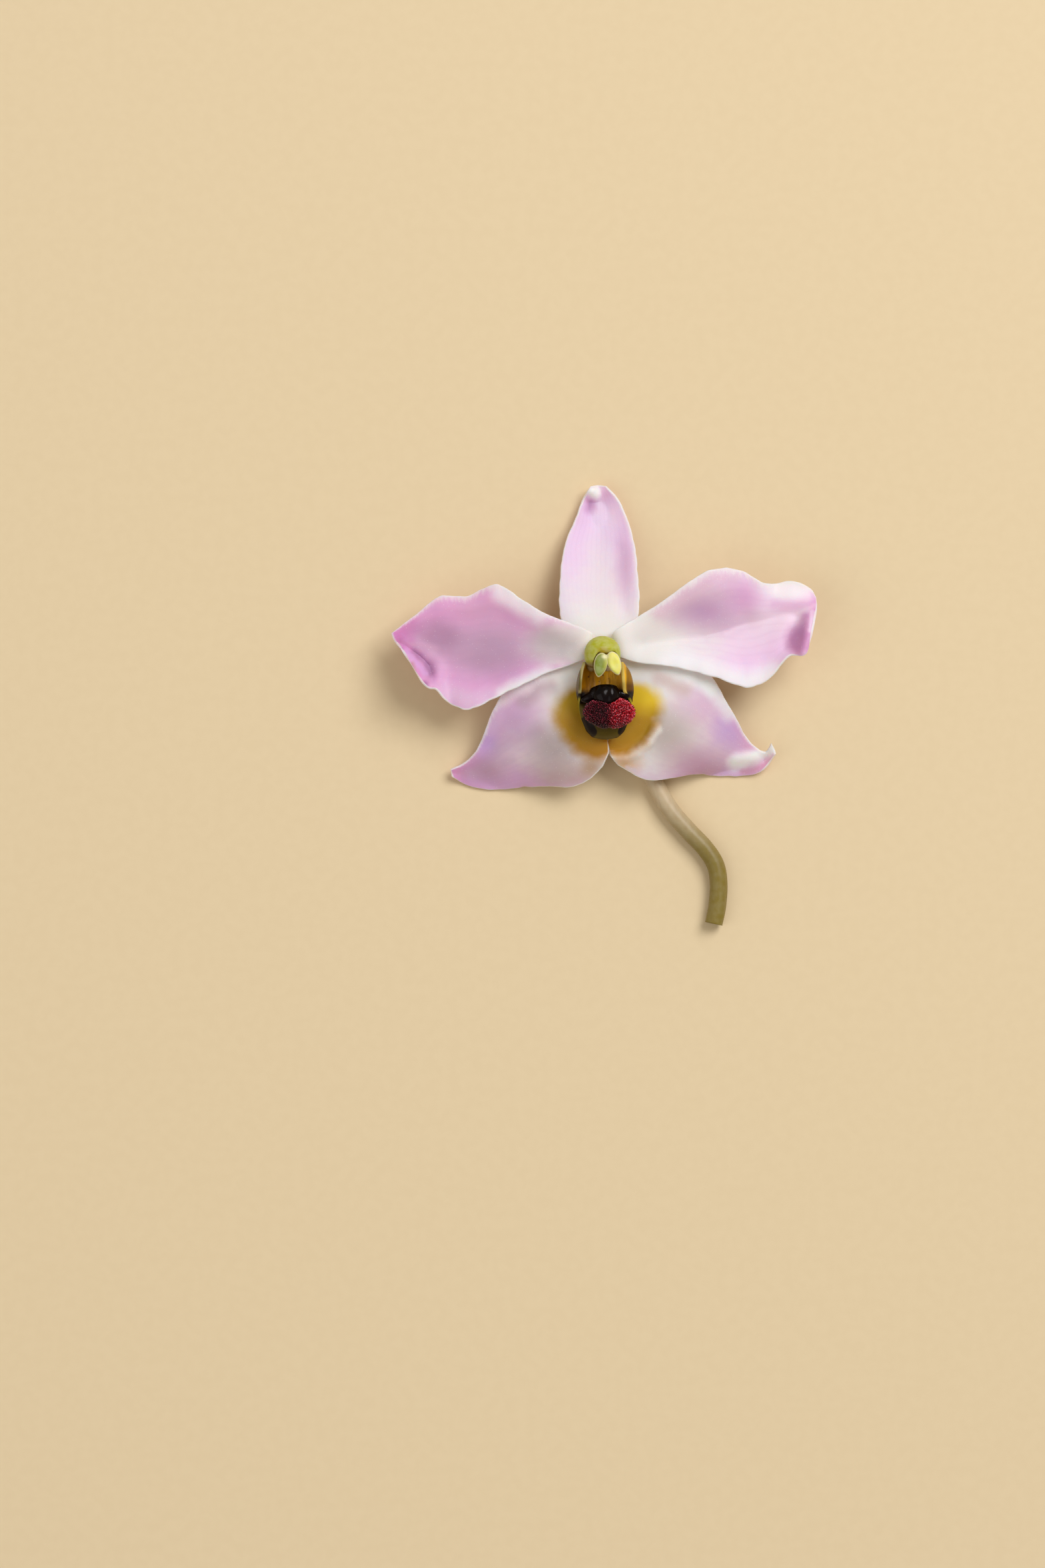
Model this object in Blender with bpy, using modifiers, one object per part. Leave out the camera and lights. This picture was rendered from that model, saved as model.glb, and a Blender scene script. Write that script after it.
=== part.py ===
"""A dendrobium orchid flower, picked with its stalk and lying face up.

Three sepals, two petals, a lip with its callus and papillae, the column with
its anther cap and pollinia, and the stalk with the ovary. Metres, +Z up. The
flower faces +Z, its top sepal points to +Y, and it rests on the plane Z = 0.
"""

import math

import bmesh
import bpy
from mathutils import Vector

MM = 0.001

# Where the flower's middle stands, so that the origin lies under the middle of the whole.
FLOWER_PLACE = Vector((-0.2, 4.8, 0.0)) * MM

# Driving dimensions.
TEPAL_THICKNESS = 0.70 * MM
PRESSED_FLAT = 0.08 * MM
LIP_THICKNESS = 0.60 * MM
STALK_RADIUS = 0.90 * MM
OVARY_RADIUS = 1.05 * MM
LIP_MIDDLE_X = 0.2

# Cage of each blade: steps along it and across it, before one subdivision.
TEPAL_STEPS = (13, 6)
LIP_STEPS = (13, 8)
ROUNDING = 1

# Blades. Each row is one station from base to tip, and holds the points, in
# millimetres from the flower's middle, of one margin, the midrib and the other margin.
DORSAL_SEPAL = (
    ((-2.30, 2.05, 5.15), (0.05, 2.10, 5.05), (2.05, 2.05, 5.15)),
    ((-4.00, 3.20, 4.85), (-0.15, 3.20, 4.60), (3.30, 3.20, 4.85)),
    ((-4.35, 5.60, 4.30), (-0.35, 5.60, 3.75), (3.60, 5.60, 4.30)),
    ((-4.20, 8.60, 3.30), (-0.40, 8.60, 2.45), (3.45, 8.60, 3.20)),
    ((-3.75, 11.30, 2.40), (-0.35, 11.30, 1.15), (3.15, 11.30, 2.20)),
    ((-2.80, 13.60, 1.60), (-0.30, 13.60, 0.00), (2.50, 13.60, 1.50)),
    ((-2.00, 15.60, 1.40), (-0.35, 15.60, 0.20), (1.60, 15.60, 1.30)),
    ((-1.25, 17.00, 2.10), (-0.55, 17.15, 1.60), (0.30, 17.05, 1.90)),
)
LEFT_PETAL = (
    ((-1.75, -0.25, 6.30), (-1.65, 1.00, 6.20), (-1.20, 2.35, 6.30)),
    ((-3.30, -0.85, 6.20), (-3.20, 1.15, 5.95), (-3.00, 3.20, 6.20)),
    ((-5.60, -1.65, 6.10), (-5.50, 1.25, 5.50), (-5.50, 4.15, 6.20)),
    ((-8.20, -2.90, 6.00), (-8.00, 1.45, 5.00), (-8.00, 5.60, 6.00)),
    ((-10.90, -4.20, 5.60), (-10.60, 1.45, 4.50), (-10.50, 7.15, 5.90)),
    ((-13.40, -5.30, 5.60), (-13.30, 1.10, 4.20), (-13.40, 6.05, 4.90)),
    ((-15.40, -4.50, 4.90), (-15.80, 1.20, 4.20), (-16.20, 5.95, 4.90)),
    ((-17.60, -2.90, 6.20), (-18.20, 1.30, 4.50), (-18.60, 4.15, 4.80)),
    ((-20.05, 1.00, 5.30), (-20.70, 1.60, 4.90), (-21.00, 2.30, 4.80)),
)
RIGHT_PETAL = (
    ((1.75, -0.10, 6.30), (1.60, 1.15, 6.20), (1.15, 2.50, 6.30)),
    ((3.30, -0.60, 6.20), (3.20, 1.50, 5.95), (3.00, 3.70, 6.20)),
    ((5.90, -0.90, 6.10), (5.60, 2.00, 5.50), (5.40, 5.15, 6.25)),
    ((8.60, -1.40, 6.00), (8.30, 2.60, 5.00), (8.00, 7.05, 6.30)),
    ((11.40, -2.20, 5.70), (11.10, 3.00, 4.60), (10.70, 8.60, 6.20)),
    ((14.30, -3.05, 5.20), (13.80, 3.30, 4.30), (13.30, 8.60, 5.50)),
    ((16.40, -2.25, 4.90), (16.50, 3.60, 4.20), (16.20, 7.30, 4.90)),
    ((18.30, -0.05, 5.70), (18.90, 3.90, 4.50), (18.80, 7.50, 5.30)),
    ((20.00, 0.25, 6.10), (20.40, 4.30, 5.00), (20.50, 6.80, 5.20)),
    ((20.80, 3.40, 5.70), (21.15, 4.90, 5.20), (21.10, 5.80, 5.10)),
)
LEFT_LATERAL_SEPAL = (
    ((-1.60, -6.50, 4.20), (-1.55, -3.60, 4.45), (-1.90, -0.30, 4.90)),
    ((0.35, -8.30, 4.60), (-2.40, -4.90, 4.55), (-3.40, -0.45, 4.95)),
    ((0.45, -9.80, 4.60), (-3.40, -6.10, 4.75), (-5.20, -1.05, 4.95)),
    ((-0.75, -11.70, 3.60), (-4.90, -7.30, 4.80), (-7.30, -1.95, 4.85)),
    ((-3.00, -12.85, 2.60), (-6.70, -8.30, 4.10), (-9.50, -3.10, 4.40)),
    ((-5.80, -12.80, 1.60), (-8.60, -9.50, 3.00), (-10.95, -5.30, 3.70)),
    ((-8.60, -13.00, 0.70), (-10.40, -10.50, 1.80), (-11.85, -7.70, 2.70)),
    ((-11.20, -13.15, 0.00), (-12.00, -11.20, 0.80), (-12.70, -9.40, 1.80)),
    ((-13.40, -12.75, 0.00), (-13.70, -11.50, 0.50), (-13.80, -10.50, 1.30)),
    ((-15.00, -11.85, 1.00), (-15.10, -11.50, 1.00), (-15.15, -11.15, 1.20)),
)
RIGHT_LATERAL_SEPAL = (
    ((1.35, -6.90, 4.00), (1.80, -3.60, 4.55), (2.20, -0.20, 4.90)),
    ((0.50, -8.20, 3.85), (2.80, -4.90, 4.50), (3.80, -0.30, 4.95)),
    ((0.65, -9.60, 3.75), (3.90, -6.10, 4.75), (5.60, -0.25, 4.95)),
    ((1.75, -10.90, 3.70), (5.50, -7.10, 4.80), (8.10, -0.45, 4.85)),
    ((4.20, -12.15, 3.40), (7.40, -8.00, 4.40), (10.40, -1.45, 4.40)),
    ((6.60, -12.05, 2.70), (9.30, -8.80, 3.40), (12.00, -4.00, 3.80)),
    ((9.00, -11.60, 1.60), (11.10, -9.50, 2.20), (13.10, -5.80, 3.00)),
    ((11.40, -11.80, -0.15), (12.70, -10.00, 1.10), (14.00, -7.50, 2.10)),
    ((13.60, -11.80, -0.05), (14.30, -10.30, 0.80), (15.00, -8.75, 1.70)),
    ((15.70, -11.40, 0.80), (15.95, -10.25, 1.10), (16.15, -9.40, 1.90)),
    ((17.20, -9.60, 2.50), (17.05, -9.10, 2.60), (16.75, -8.55, 2.80)),
)

# Waves of a blade's margins: rise in millimetres, waves along the blade, and phase.
DORSAL_WAVES = (0.10, 2.0, 0.1)
PETAL_WAVES = (0.22, 3.5, 0.3)
LATERAL_WAVES = (0.14, 3.0, 0.6)

# Lip. Each row is one station from base to tip: the floor's (y, z), then the side
# wall's fullest point and its free edge as (x, y, z), x from the lip's middle.
LIP = (
    ((-1.45, 6.20), (1.65, -1.15, 6.85), (2.10, -0.55, 8.00)),
    ((-1.90, 6.15), (2.15, -1.65, 7.00), (2.05, -1.35, 8.50)),
    ((-2.70, 6.20), (2.45, -2.60, 7.00), (1.95, -2.45, 8.70)),
    ((-3.70, 6.40), (2.50, -3.60, 6.90), (1.95, -3.50, 8.30)),
    ((-4.60, 6.65), (2.15, -4.55, 6.85), (2.55, -4.45, 7.30)),
    ((-5.70, 6.85), (1.70, -5.65, 6.80), (2.50, -5.55, 6.40)),
    ((-6.80, 6.75), (1.40, -6.70, 6.55), (2.15, -6.60, 6.05)),
    ((-7.55, 6.30), (1.20, -7.45, 6.10), (1.80, -7.30, 5.80)),
    ((-8.05, 5.70), (0.80, -7.95, 5.60), (1.35, -7.80, 5.45)),
)

# Callus: a dome across the lip's floor, with a flat brow towards the anther.
CALLUS_MIDDLE = Vector((0.25, -3.80, 7.95)) * MM
CALLUS_RADII = Vector((1.35, 1.20, 0.85)) * MM
CALLUS_TILT = math.radians(-14)

# Papillae: two cushions side by side, with a cleft between them.
PAPILLAE_MIDDLE = Vector((0.55, -5.60, 8.15)) * MM
PAPILLAE_RADII = Vector((2.40, 1.40, 0.90)) * MM
PAPILLA_HEIGHT = 0.20 * MM
CLEFT_DEPTH = 0.30
CLEFT_WIDTH = 0.20
CALLUS_CLEAR = 0.40 * MM

# Column: a hood on a neck, hollow in front, with a foot that runs under the lip.
NECK_RADII = (1.10 * MM, 1.30 * MM)
NECK_Y = 0.40
NECK_LOW = 4.70
NECK_HIGH = 7.60
HOOD_MIDDLE = Vector((-0.1, 0.35, 7.9)) * MM
HOOD_RADII = Vector((1.78, 1.65, 1.70)) * MM
HOLLOW_MIDDLE = Vector((0.15, -1.15, 9.1)) * MM
HOLLOW_RADII = Vector((1.64, 2.05, 1.95)) * MM
FOOT_MIDDLE = Vector((0.15, -3.05, 4.95)) * MM
FOOT_RADII = Vector((0.75, 3.00, 0.42)) * MM
FOOT_TIP_RISE = 1.05 * MM

# Anther cap: two lobes, each a cell that is open behind, over a pair of pollinia.
# Each lobe is its middle, in millimetres, and its turn about Z in degrees.
ANTHER_LOBES = (((-0.32, -0.90, 9.35), -10), ((1.05, -0.75, 9.35), 20))
LOBE_RADII = Vector((0.66, 1.22, 0.62)) * MM
CELL_RADII = Vector((0.46, 1.00, 0.52)) * MM
CELL_BACK = Vector((0.0, 0.0, -0.32)) * MM
LOBE_BRIDGE_MIDDLE = Vector((0.34, -0.35, 9.3)) * MM
LOBE_BRIDGE_RADII = Vector((0.75, 0.48, 0.32)) * MM
POLLINIUM_RADII = Vector((0.14, 0.55, 0.18)) * MM
POLLINIUM_APART = 0.10 * MM
POLLINIA_BACK = Vector((0.0, 0.0, -0.26)) * MM

# Stalk: the line through its middle, in millimetres, from the ovary to the cut end.
STALK_LINE = (
    (0.10, 0.55, 4.35),
    (0.15, 0.45, 3.60),
    (0.60, -0.90, 2.40),
    (1.50, -3.60, 1.60),
    (2.80, -7.00, 1.15),
    (4.15, -10.30, 0.90),
    (5.45, -13.00, 0.90),
    (6.70, -15.10, 0.90),
    (8.40, -17.10, 0.90),
    (10.20, -19.00, 0.90),
    (11.25, -20.70, 0.90),
    (11.55, -22.60, 0.90),
    (11.40, -24.80, 0.90),
    (11.05, -26.50, 0.90),
)
STALK_SAMPLES = 42
OVARY_SHARE = 0.28

# Finishes: colour, roughness.
FINISHES = {
    "sepal": ((0.88, 0.72, 0.86), 0.45),
    "petal": ((0.86, 0.66, 0.84), 0.45),
    "lip_flesh": ((0.33, 0.18, 0.03), 0.25),
    "callus": ((0.02, 0.012, 0.01), 0.15),
    "papillae": ((0.42, 0.02, 0.06), 0.30),
    "column": ((0.58, 0.66, 0.18), 0.40),
    "anther": ((0.66, 0.76, 0.30), 0.40),
    "pollinia": ((0.85, 0.62, 0.10), 0.35),
    "stalk": ((0.80, 0.68, 0.58), 0.50),
}


def clear_scene():
    """Removes every object that the scene starts with."""
    for obj in list(bpy.data.objects):
        bpy.data.objects.remove(obj)


def new_collection(name):
    """A collection linked to the scene."""
    collection = bpy.data.collections.new(name)
    bpy.context.scene.collection.children.link(collection)
    return collection


def finish(name):
    """The Principled material of that name."""
    material = bpy.data.materials.get(name)
    if material:
        return material
    colour, roughness = FINISHES[name]
    material = bpy.data.materials.new(name)
    material.use_nodes = True
    shader = material.node_tree.nodes["Principled BSDF"]
    shader.inputs["Base Color"].default_value = (*colour, 1.0)
    shader.inputs["Roughness"].default_value = roughness
    shader.inputs["Metallic"].default_value = 0.0
    return material


def place(name, mesh, collection, root, finish_name=None):
    """An object for the mesh, carried by the flower's middle."""
    obj = bpy.data.objects.new(name, mesh)
    obj.parent = root
    collection.objects.link(obj)
    if finish_name:
        mesh.materials.append(finish(finish_name))
    mesh.shade_smooth()
    return obj


def mesh_from(bm, name):
    """A mesh that holds what the bmesh holds."""
    mesh = bpy.data.meshes.new(name)
    bm.normal_update()
    bm.to_mesh(mesh)
    bm.free()
    return mesh


def through(points, share):
    """The point at that share of a smooth curve that passes through all the points."""
    spans = len(points) - 1
    at = min(max(share, 0.0), 1.0) * spans
    low = min(int(at), spans - 1)
    t = at - low
    b = points[low]
    c = points[low + 1]
    a = points[low - 1] if low > 0 else 2 * b - c
    d = points[low + 2] if low + 2 <= spans else 2 * c - b
    return 0.5 * (2 * b + (c - a) * t + (2 * a - 5 * b + 4 * c - d) * t**2 + (3 * b - a - 3 * c + d) * t**3)


def blade_point(guides, u, v):
    """A point on the sheet that the guide curves carry, u along them and v, -1 to 1, across them."""
    across = [through(guide, u) for guide in guides]
    return through(across, (v + 1) / 2)


def guides_of(stations):
    """The rows of a blade as its guide curves, one for each margin and one for the midrib, in metres."""
    return [[Vector(point) * MM for point in guide] for guide in zip(*stations)]


def wave(waves, u, v):
    """How far a margin rises or falls: nothing at the midrib, the base and the tip."""
    height, count, phase = waves
    side = 0.5 if v > 0 else 0.0
    return height * MM * v**4 * math.sin(math.pi * u) * math.sin(2 * math.pi * (count * u + phase + side))


def sheet(name, guides, steps, waves=None, floor=None):
    """A grid laid over the guide curves. Nothing of it lies lower than the floor."""
    bm = bmesh.new()
    bmesh.ops.create_grid(bm, x_segments=steps[0], y_segments=steps[1], size=1.0)
    for vert in bm.verts:
        u, v = (vert.co.x + 1) / 2, vert.co.y
        point = blade_point(guides, u, v)
        if waves:
            point.z += wave(waves, u, v)
        if floor is not None:
            point.z = max(point.z, floor)
        vert.co = point
    return mesh_from(bm, name)


def thicken(obj, thickness):
    """Gives a sheet its thickness, half to each side, and rounds it."""
    solid = obj.modifiers.new("thickness", "SOLIDIFY")
    solid.thickness = thickness
    solid.offset = 0.0
    solid.use_even_offset = True
    soft = obj.modifiers.new("rounding", "SUBSURF")
    soft.levels = ROUNDING
    soft.render_levels = ROUNDING


def tepal(name, stations, waves, finish_name, collection, root, surface=None):
    """A sepal or petal. One that rests on the surface is pressed flat where it touches."""
    mesh = sheet(name, guides_of(stations), TEPAL_STEPS, waves, TEPAL_THICKNESS / 2 - PRESSED_FLAT)
    obj = place(name, mesh, collection, root, finish_name)
    thicken(obj, TEPAL_THICKNESS)
    if surface:
        boolean(obj, "DIFFERENCE", surface)


def surface_cut(helpers):
    """The space below the plane Z = 0, which takes off whatever would reach into it."""
    bm = bmesh.new()
    bmesh.ops.create_cube(bm, size=60 * MM)
    obj = bpy.data.objects.new("surface_cut", mesh_from(bm, "surface_cut"))
    obj.location.z = -30 * MM
    helpers.objects.link(obj)
    helper(obj)
    return obj


def lip_guides():
    """Five guide curves of the lip: left edge, left wall, floor, right wall, right edge."""
    guides = [[], [], [], [], []]
    for (floor_y, floor_z), wall, edge in LIP:
        row = (
            (-edge[0], edge[1], edge[2]),
            (-wall[0], wall[1], wall[2]),
            (0.0, floor_y, floor_z),
            wall,
            edge,
        )
        for guide, (x, y, z) in zip(guides, row):
            guide.append(Vector((x + LIP_MIDDLE_X, y, z)) * MM)
    return guides


def lip(collection, root):
    """The lip: a boat with raised side lobes and a front that bends down."""
    mesh = sheet("lip", lip_guides(), LIP_STEPS)
    thicken(place("lip", mesh, collection, root, "lip_flesh"), LIP_THICKNESS)


def ball(radii, subdivisions=3):
    """A bmesh ball with a radius for each axis."""
    bm = bmesh.new()
    bmesh.ops.create_icosphere(bm, subdivisions=subdivisions, radius=1.0)
    for vert in bm.verts:
        vert.co = vert.co * radii
    return bm


def callus(collection, root):
    """The callus: a dome that is flatter on its brow and below."""
    bm = ball(Vector((1, 1, 1)))
    for vert in bm.verts:
        x, y, z = vert.co
        brow = min(y, 0.72)
        vert.co = Vector((x * (1 - 0.18 * y), brow, max(z, -0.55))) * CALLUS_RADII
    obj = place("lip_callus", mesh_from(bm, "lip_callus"), collection, root, "callus")
    obj.location = CALLUS_MIDDLE
    obj.rotation_euler.x = CALLUS_TILT


def clear_of_callus(point):
    """The point, moved away from the callus where it would lie too close to it."""
    clear = CALLUS_RADII + Vector((CALLUS_CLEAR, CALLUS_CLEAR, CALLUS_CLEAR))
    off = point - CALLUS_MIDDLE
    near = Vector((off.x / clear.x, off.y / clear.y, off.z / clear.z)).length
    return CALLUS_MIDDLE + off / near if near < 1 else point


def papillae(collection, root):
    """Two cushions with a cleft, and a small three-sided papilla on each face that shows."""
    bm = ball(Vector((1, 1, 1)), 4)
    for vert in bm.verts:
        x, y, z = vert.co
        cleft = CLEFT_DEPTH * math.exp(-((x / CLEFT_WIDTH) ** 2))
        notch = cleft if y > 0 else 0.4 * cleft
        vert.co = Vector((x, y * (1 - notch), max(z * (1 - 0.6 * cleft), -0.6))) * PAPILLAE_RADII
    bm.normal_update()
    shown = [face for face in bm.faces if face.normal.z > 0.05]
    bmesh.ops.poke(bm, faces=shown, offset=PAPILLA_HEIGHT)
    for vert in bm.verts:
        vert.co = clear_of_callus(vert.co + PAPILLAE_MIDDLE) - PAPILLAE_MIDDLE
    obj = place("lip_papillae", mesh_from(bm, "lip_papillae"), collection, root, "papillae")
    obj.location = PAPILLAE_MIDDLE
    obj.data.shade_flat()


def egg(name, middle, radii, collection, root, turn=0.0, finish_name=None, subdivisions=3):
    """A ball with three radii as an object, at its place and turned about Z."""
    obj = place(name, mesh_from(ball(radii, subdivisions), name), collection, root, finish_name)
    obj.location = middle
    obj.rotation_euler.z = turn
    return obj


def foot_mesh():
    """The column's foot: a flat tongue whose far end turns up to carry the lip."""
    bm = ball(Vector((1, 1, 1)))
    for vert in bm.verts:
        far = max(-vert.co.y, 0.0)
        vert.co = vert.co * FOOT_RADII
        vert.co.z += FOOT_TIP_RISE * far**6
    return mesh_from(bm, "column_foot")


def neck_mesh():
    """The column's neck: a short cone under the hood."""
    bm = bmesh.new()
    bmesh.ops.create_cone(
        bm,
        cap_ends=True,
        segments=24,
        radius1=NECK_RADII[0],
        radius2=NECK_RADII[1],
        depth=(NECK_HIGH - NECK_LOW) * MM,
    )
    return mesh_from(bm, "column_neck")


def helper(obj):
    """Marks an object that only cuts or joins, so that it isn't a piece."""
    obj.hide_render = True
    obj.display_type = "WIRE"


def boolean(obj, operation, other):
    """Joins or cuts the object with another."""
    modifier = obj.modifiers.new(operation.lower() + "_" + other.name, "BOOLEAN")
    modifier.operation = operation
    modifier.object = other
    modifier.solver = "EXACT"


def column(collection, helpers, root):
    """The column: hood, neck and foot in one, with the hollow that holds the anther."""
    hood = egg("column", HOOD_MIDDLE, HOOD_RADII, collection, root, finish_name="column")
    neck = place("neck_join", neck_mesh(), helpers, root)
    neck.location = Vector((0.0, NECK_Y, (NECK_LOW + NECK_HIGH) / 2)) * MM
    foot = place("foot_join", foot_mesh(), helpers, root)
    foot.location = FOOT_MIDDLE
    hollow = egg("hollow_cut", HOLLOW_MIDDLE, HOLLOW_RADII, helpers, root)
    boolean(hood, "UNION", neck)
    boolean(hood, "UNION", foot)
    boolean(hood, "DIFFERENCE", hollow)
    for obj in (neck, foot, hollow):
        helper(obj)


def anther_cap(collection, helpers, root):
    """The anther cap: two lobes joined by a bridge, each with a cell that is open behind."""
    cap = egg("anther_cap", LOBE_BRIDGE_MIDDLE, LOBE_BRIDGE_RADII, collection, root, finish_name="anther")
    for number, (middle, degrees) in enumerate(ANTHER_LOBES):
        turn = math.radians(degrees)
        middle = Vector(middle) * MM
        lobe = egg(f"lobe_join_{number}", middle, LOBE_RADII, helpers, root, turn)
        cell = egg(f"cell_cut_{number}", middle + CELL_BACK, CELL_RADII, helpers, root, turn, subdivisions=2)
        boolean(cap, "UNION", lobe)
        boolean(cap, "DIFFERENCE", cell)
        for obj in (lobe, cell):
            helper(obj)


def pollinia(collection, helpers, root):
    """A pair of waxy pollinia in each of the anther's cells, the two of a pair grown together."""
    for side, (middle, degrees) in zip(("left", "right"), ANTHER_LOBES):
        turn = math.radians(degrees)
        across = Vector((math.cos(turn), math.sin(turn), 0.0)) * POLLINIUM_APART
        middle = Vector(middle) * MM + POLLINIA_BACK
        pair = egg(
            f"pollinia_{side}", middle - across, POLLINIUM_RADII, collection, root, turn, "pollinia", 2
        )
        mate = egg(f"pollinium_join_{side}", middle + across, POLLINIUM_RADII, helpers, root, turn, None, 2)
        boolean(pair, "UNION", mate)
        helper(mate)


def stalk(collection, root):
    """The ovary and stalk: one tube, thicker at the ovary, with a cut end."""
    line = [Vector(point) * MM for point in STALK_LINE]
    data = bpy.data.curves.new("stalk_with_ovary", "CURVE")
    data.dimensions = "3D"
    data.bevel_depth = 1.0
    data.bevel_resolution = 3
    data.use_fill_caps = True
    spline = data.splines.new("POLY")
    spline.points.add(STALK_SAMPLES - 1)
    for number, point in enumerate(spline.points):
        share = number / (STALK_SAMPLES - 1)
        point.co = (*through(line, share), 1.0)
        point.radius = STALK_RADIUS + (OVARY_RADIUS - STALK_RADIUS) * max(0.0, 1 - share / OVARY_SHARE)
    data.materials.append(finish("stalk"))
    obj = bpy.data.objects.new("stalk_with_ovary", data)
    obj.parent = root
    collection.objects.link(obj)


def main():
    """Builds the flower."""
    clear_scene()
    pieces = new_collection("dendrobium_flower")
    helpers = new_collection("joins_and_cuts")
    root = bpy.data.objects.new("flower_middle", None)
    root.location = FLOWER_PLACE
    pieces.objects.link(root)
    surface = surface_cut(helpers)
    tepal("dorsal_sepal", DORSAL_SEPAL, DORSAL_WAVES, "sepal", pieces, root, surface)
    tepal("left_petal", LEFT_PETAL, PETAL_WAVES, "petal", pieces, root)
    tepal("right_petal", RIGHT_PETAL, PETAL_WAVES, "petal", pieces, root)
    tepal("left_lateral_sepal", LEFT_LATERAL_SEPAL, LATERAL_WAVES, "sepal", pieces, root, surface)
    tepal("right_lateral_sepal", RIGHT_LATERAL_SEPAL, LATERAL_WAVES, "sepal", pieces, root, surface)
    lip(pieces, root)
    callus(pieces, root)
    papillae(pieces, root)
    column(pieces, helpers, root)
    anther_cap(pieces, helpers, root)
    pollinia(pieces, helpers, root)
    stalk(pieces, root)


main()
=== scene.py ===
"""A dendrobium orchid flower, picked and laid face up on a pale surface.

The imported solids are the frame. Every piece here stands for one of them, with the
same form and finer tissue. Places and lengths are in millimetres, unless a line says
otherwise, and places are counted from the flower's middle: X to the viewer's right,
Y to the tip of the top sepal, Z out of its face.
"""

import logging
import math
from dataclasses import dataclass
from enum import Enum

import bpy
import numpy as np
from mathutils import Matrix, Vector


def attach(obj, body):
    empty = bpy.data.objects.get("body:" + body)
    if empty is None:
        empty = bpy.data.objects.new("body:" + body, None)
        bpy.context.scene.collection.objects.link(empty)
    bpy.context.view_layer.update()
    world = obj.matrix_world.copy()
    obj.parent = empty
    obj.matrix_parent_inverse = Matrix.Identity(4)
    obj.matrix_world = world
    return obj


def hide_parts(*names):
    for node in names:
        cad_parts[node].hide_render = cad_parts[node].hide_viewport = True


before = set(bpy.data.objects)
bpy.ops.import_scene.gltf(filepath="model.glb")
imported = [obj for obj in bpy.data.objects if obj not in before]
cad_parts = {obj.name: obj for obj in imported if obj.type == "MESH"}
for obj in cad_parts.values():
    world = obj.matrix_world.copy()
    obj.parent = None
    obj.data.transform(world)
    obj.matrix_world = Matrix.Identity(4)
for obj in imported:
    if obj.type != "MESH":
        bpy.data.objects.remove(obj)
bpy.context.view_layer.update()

LOG = logging.getLogger("dendrobium_flower")

MM = 0.001
FLOWER_PLACE = np.array((-0.2, 4.8, 0.0))
NEARLY_NOTHING = 1e-6
CUSHION_TINT = 0.12
BETWEEN_TINTS = 0.13
LEAST_BEAD_TINT = 0.15

Point = tuple[float, float, float]
Spot = tuple[float, float]
Path = tuple[Spot, ...]
Stations = tuple[tuple[Point, ...], ...]
Colour = tuple[float, float, float, float]
Piece = bpy.types.Object
Material = bpy.types.Material
Tree = bpy.types.NodeTree
Node = bpy.types.Node
Socket = bpy.types.NodeSocket
Feeds = dict[str | int, object]


class Slot(str, Enum):
    """The record's material slots."""

    SEPAL = "sepal"
    PETAL = "petal"
    LIP = "lip_flesh"
    CALLUS = "callus"
    PAPILLAE = "papillae"
    COLUMN = "column"
    ANTHER = "anther"
    POLLINIA = "pollinia"
    STALK = "stalk"


class Ease(str, Enum):
    """How a mask passes from nothing to full."""

    EVEN = "LINEAR"
    SOFT = "SMOOTHSTEP"


class Join(str, Enum):
    """What one solid does to another."""

    ADD = "UNION"
    CUT = "DIFFERENCE"


class Side(int, Enum):
    """A side of the flower, as the viewer sees it."""

    LEFT = 0
    RIGHT = 1


DORSAL_SEPAL: Stations = (
    ((-1.10, 1.10, 4.50), (0.05, 1.20, 4.40), (1.10, 1.10, 4.50)),
    ((-2.30, 2.05, 5.15), (0.05, 2.10, 5.05), (2.05, 2.05, 5.15)),
    ((-4.00, 3.20, 4.85), (-0.15, 3.20, 4.60), (3.30, 3.20, 4.85)),
    ((-4.35, 5.60, 4.30), (-0.35, 5.60, 3.75), (3.60, 5.60, 4.30)),
    ((-4.20, 8.60, 3.30), (-0.40, 8.60, 2.45), (3.45, 8.60, 3.20)),
    ((-3.75, 11.30, 2.40), (-0.35, 11.30, 1.15), (3.15, 11.30, 2.20)),
    ((-2.80, 13.60, 1.60), (-0.30, 13.60, 0.00), (2.50, 13.60, 1.50)),
    ((-2.00, 15.60, 1.40), (-0.35, 15.60, 0.20), (1.60, 15.60, 1.30)),
    ((-1.25, 17.00, 2.10), (-0.55, 17.15, 1.60), (0.30, 17.05, 1.90)),
)
LEFT_PETAL: Stations = (
    ((-0.75, 0.30, 4.75), (-0.80, 0.80, 4.65), (-0.60, 1.30, 4.75)),
    ((-1.75, -0.25, 6.30), (-1.65, 1.00, 6.20), (-1.20, 2.35, 6.30)),
    ((-3.30, -0.85, 6.20), (-3.20, 1.15, 5.95), (-3.00, 3.20, 6.20)),
    ((-5.60, -1.65, 6.10), (-5.50, 1.25, 5.50), (-5.50, 4.15, 6.20)),
    ((-8.20, -2.90, 6.00), (-8.00, 1.45, 5.00), (-8.00, 5.60, 6.00)),
    ((-10.90, -4.20, 5.60), (-10.60, 1.45, 4.50), (-10.50, 7.15, 5.90)),
    ((-13.40, -5.30, 5.60), (-13.30, 1.10, 4.20), (-13.40, 6.05, 4.90)),
    ((-15.40, -4.50, 4.90), (-15.80, 1.20, 4.20), (-16.20, 5.95, 4.90)),
    ((-17.60, -2.90, 6.20), (-18.20, 1.30, 4.50), (-18.60, 4.15, 4.80)),
    ((-20.05, 1.00, 5.30), (-20.70, 1.60, 4.90), (-21.00, 2.30, 4.80)),
)
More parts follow.
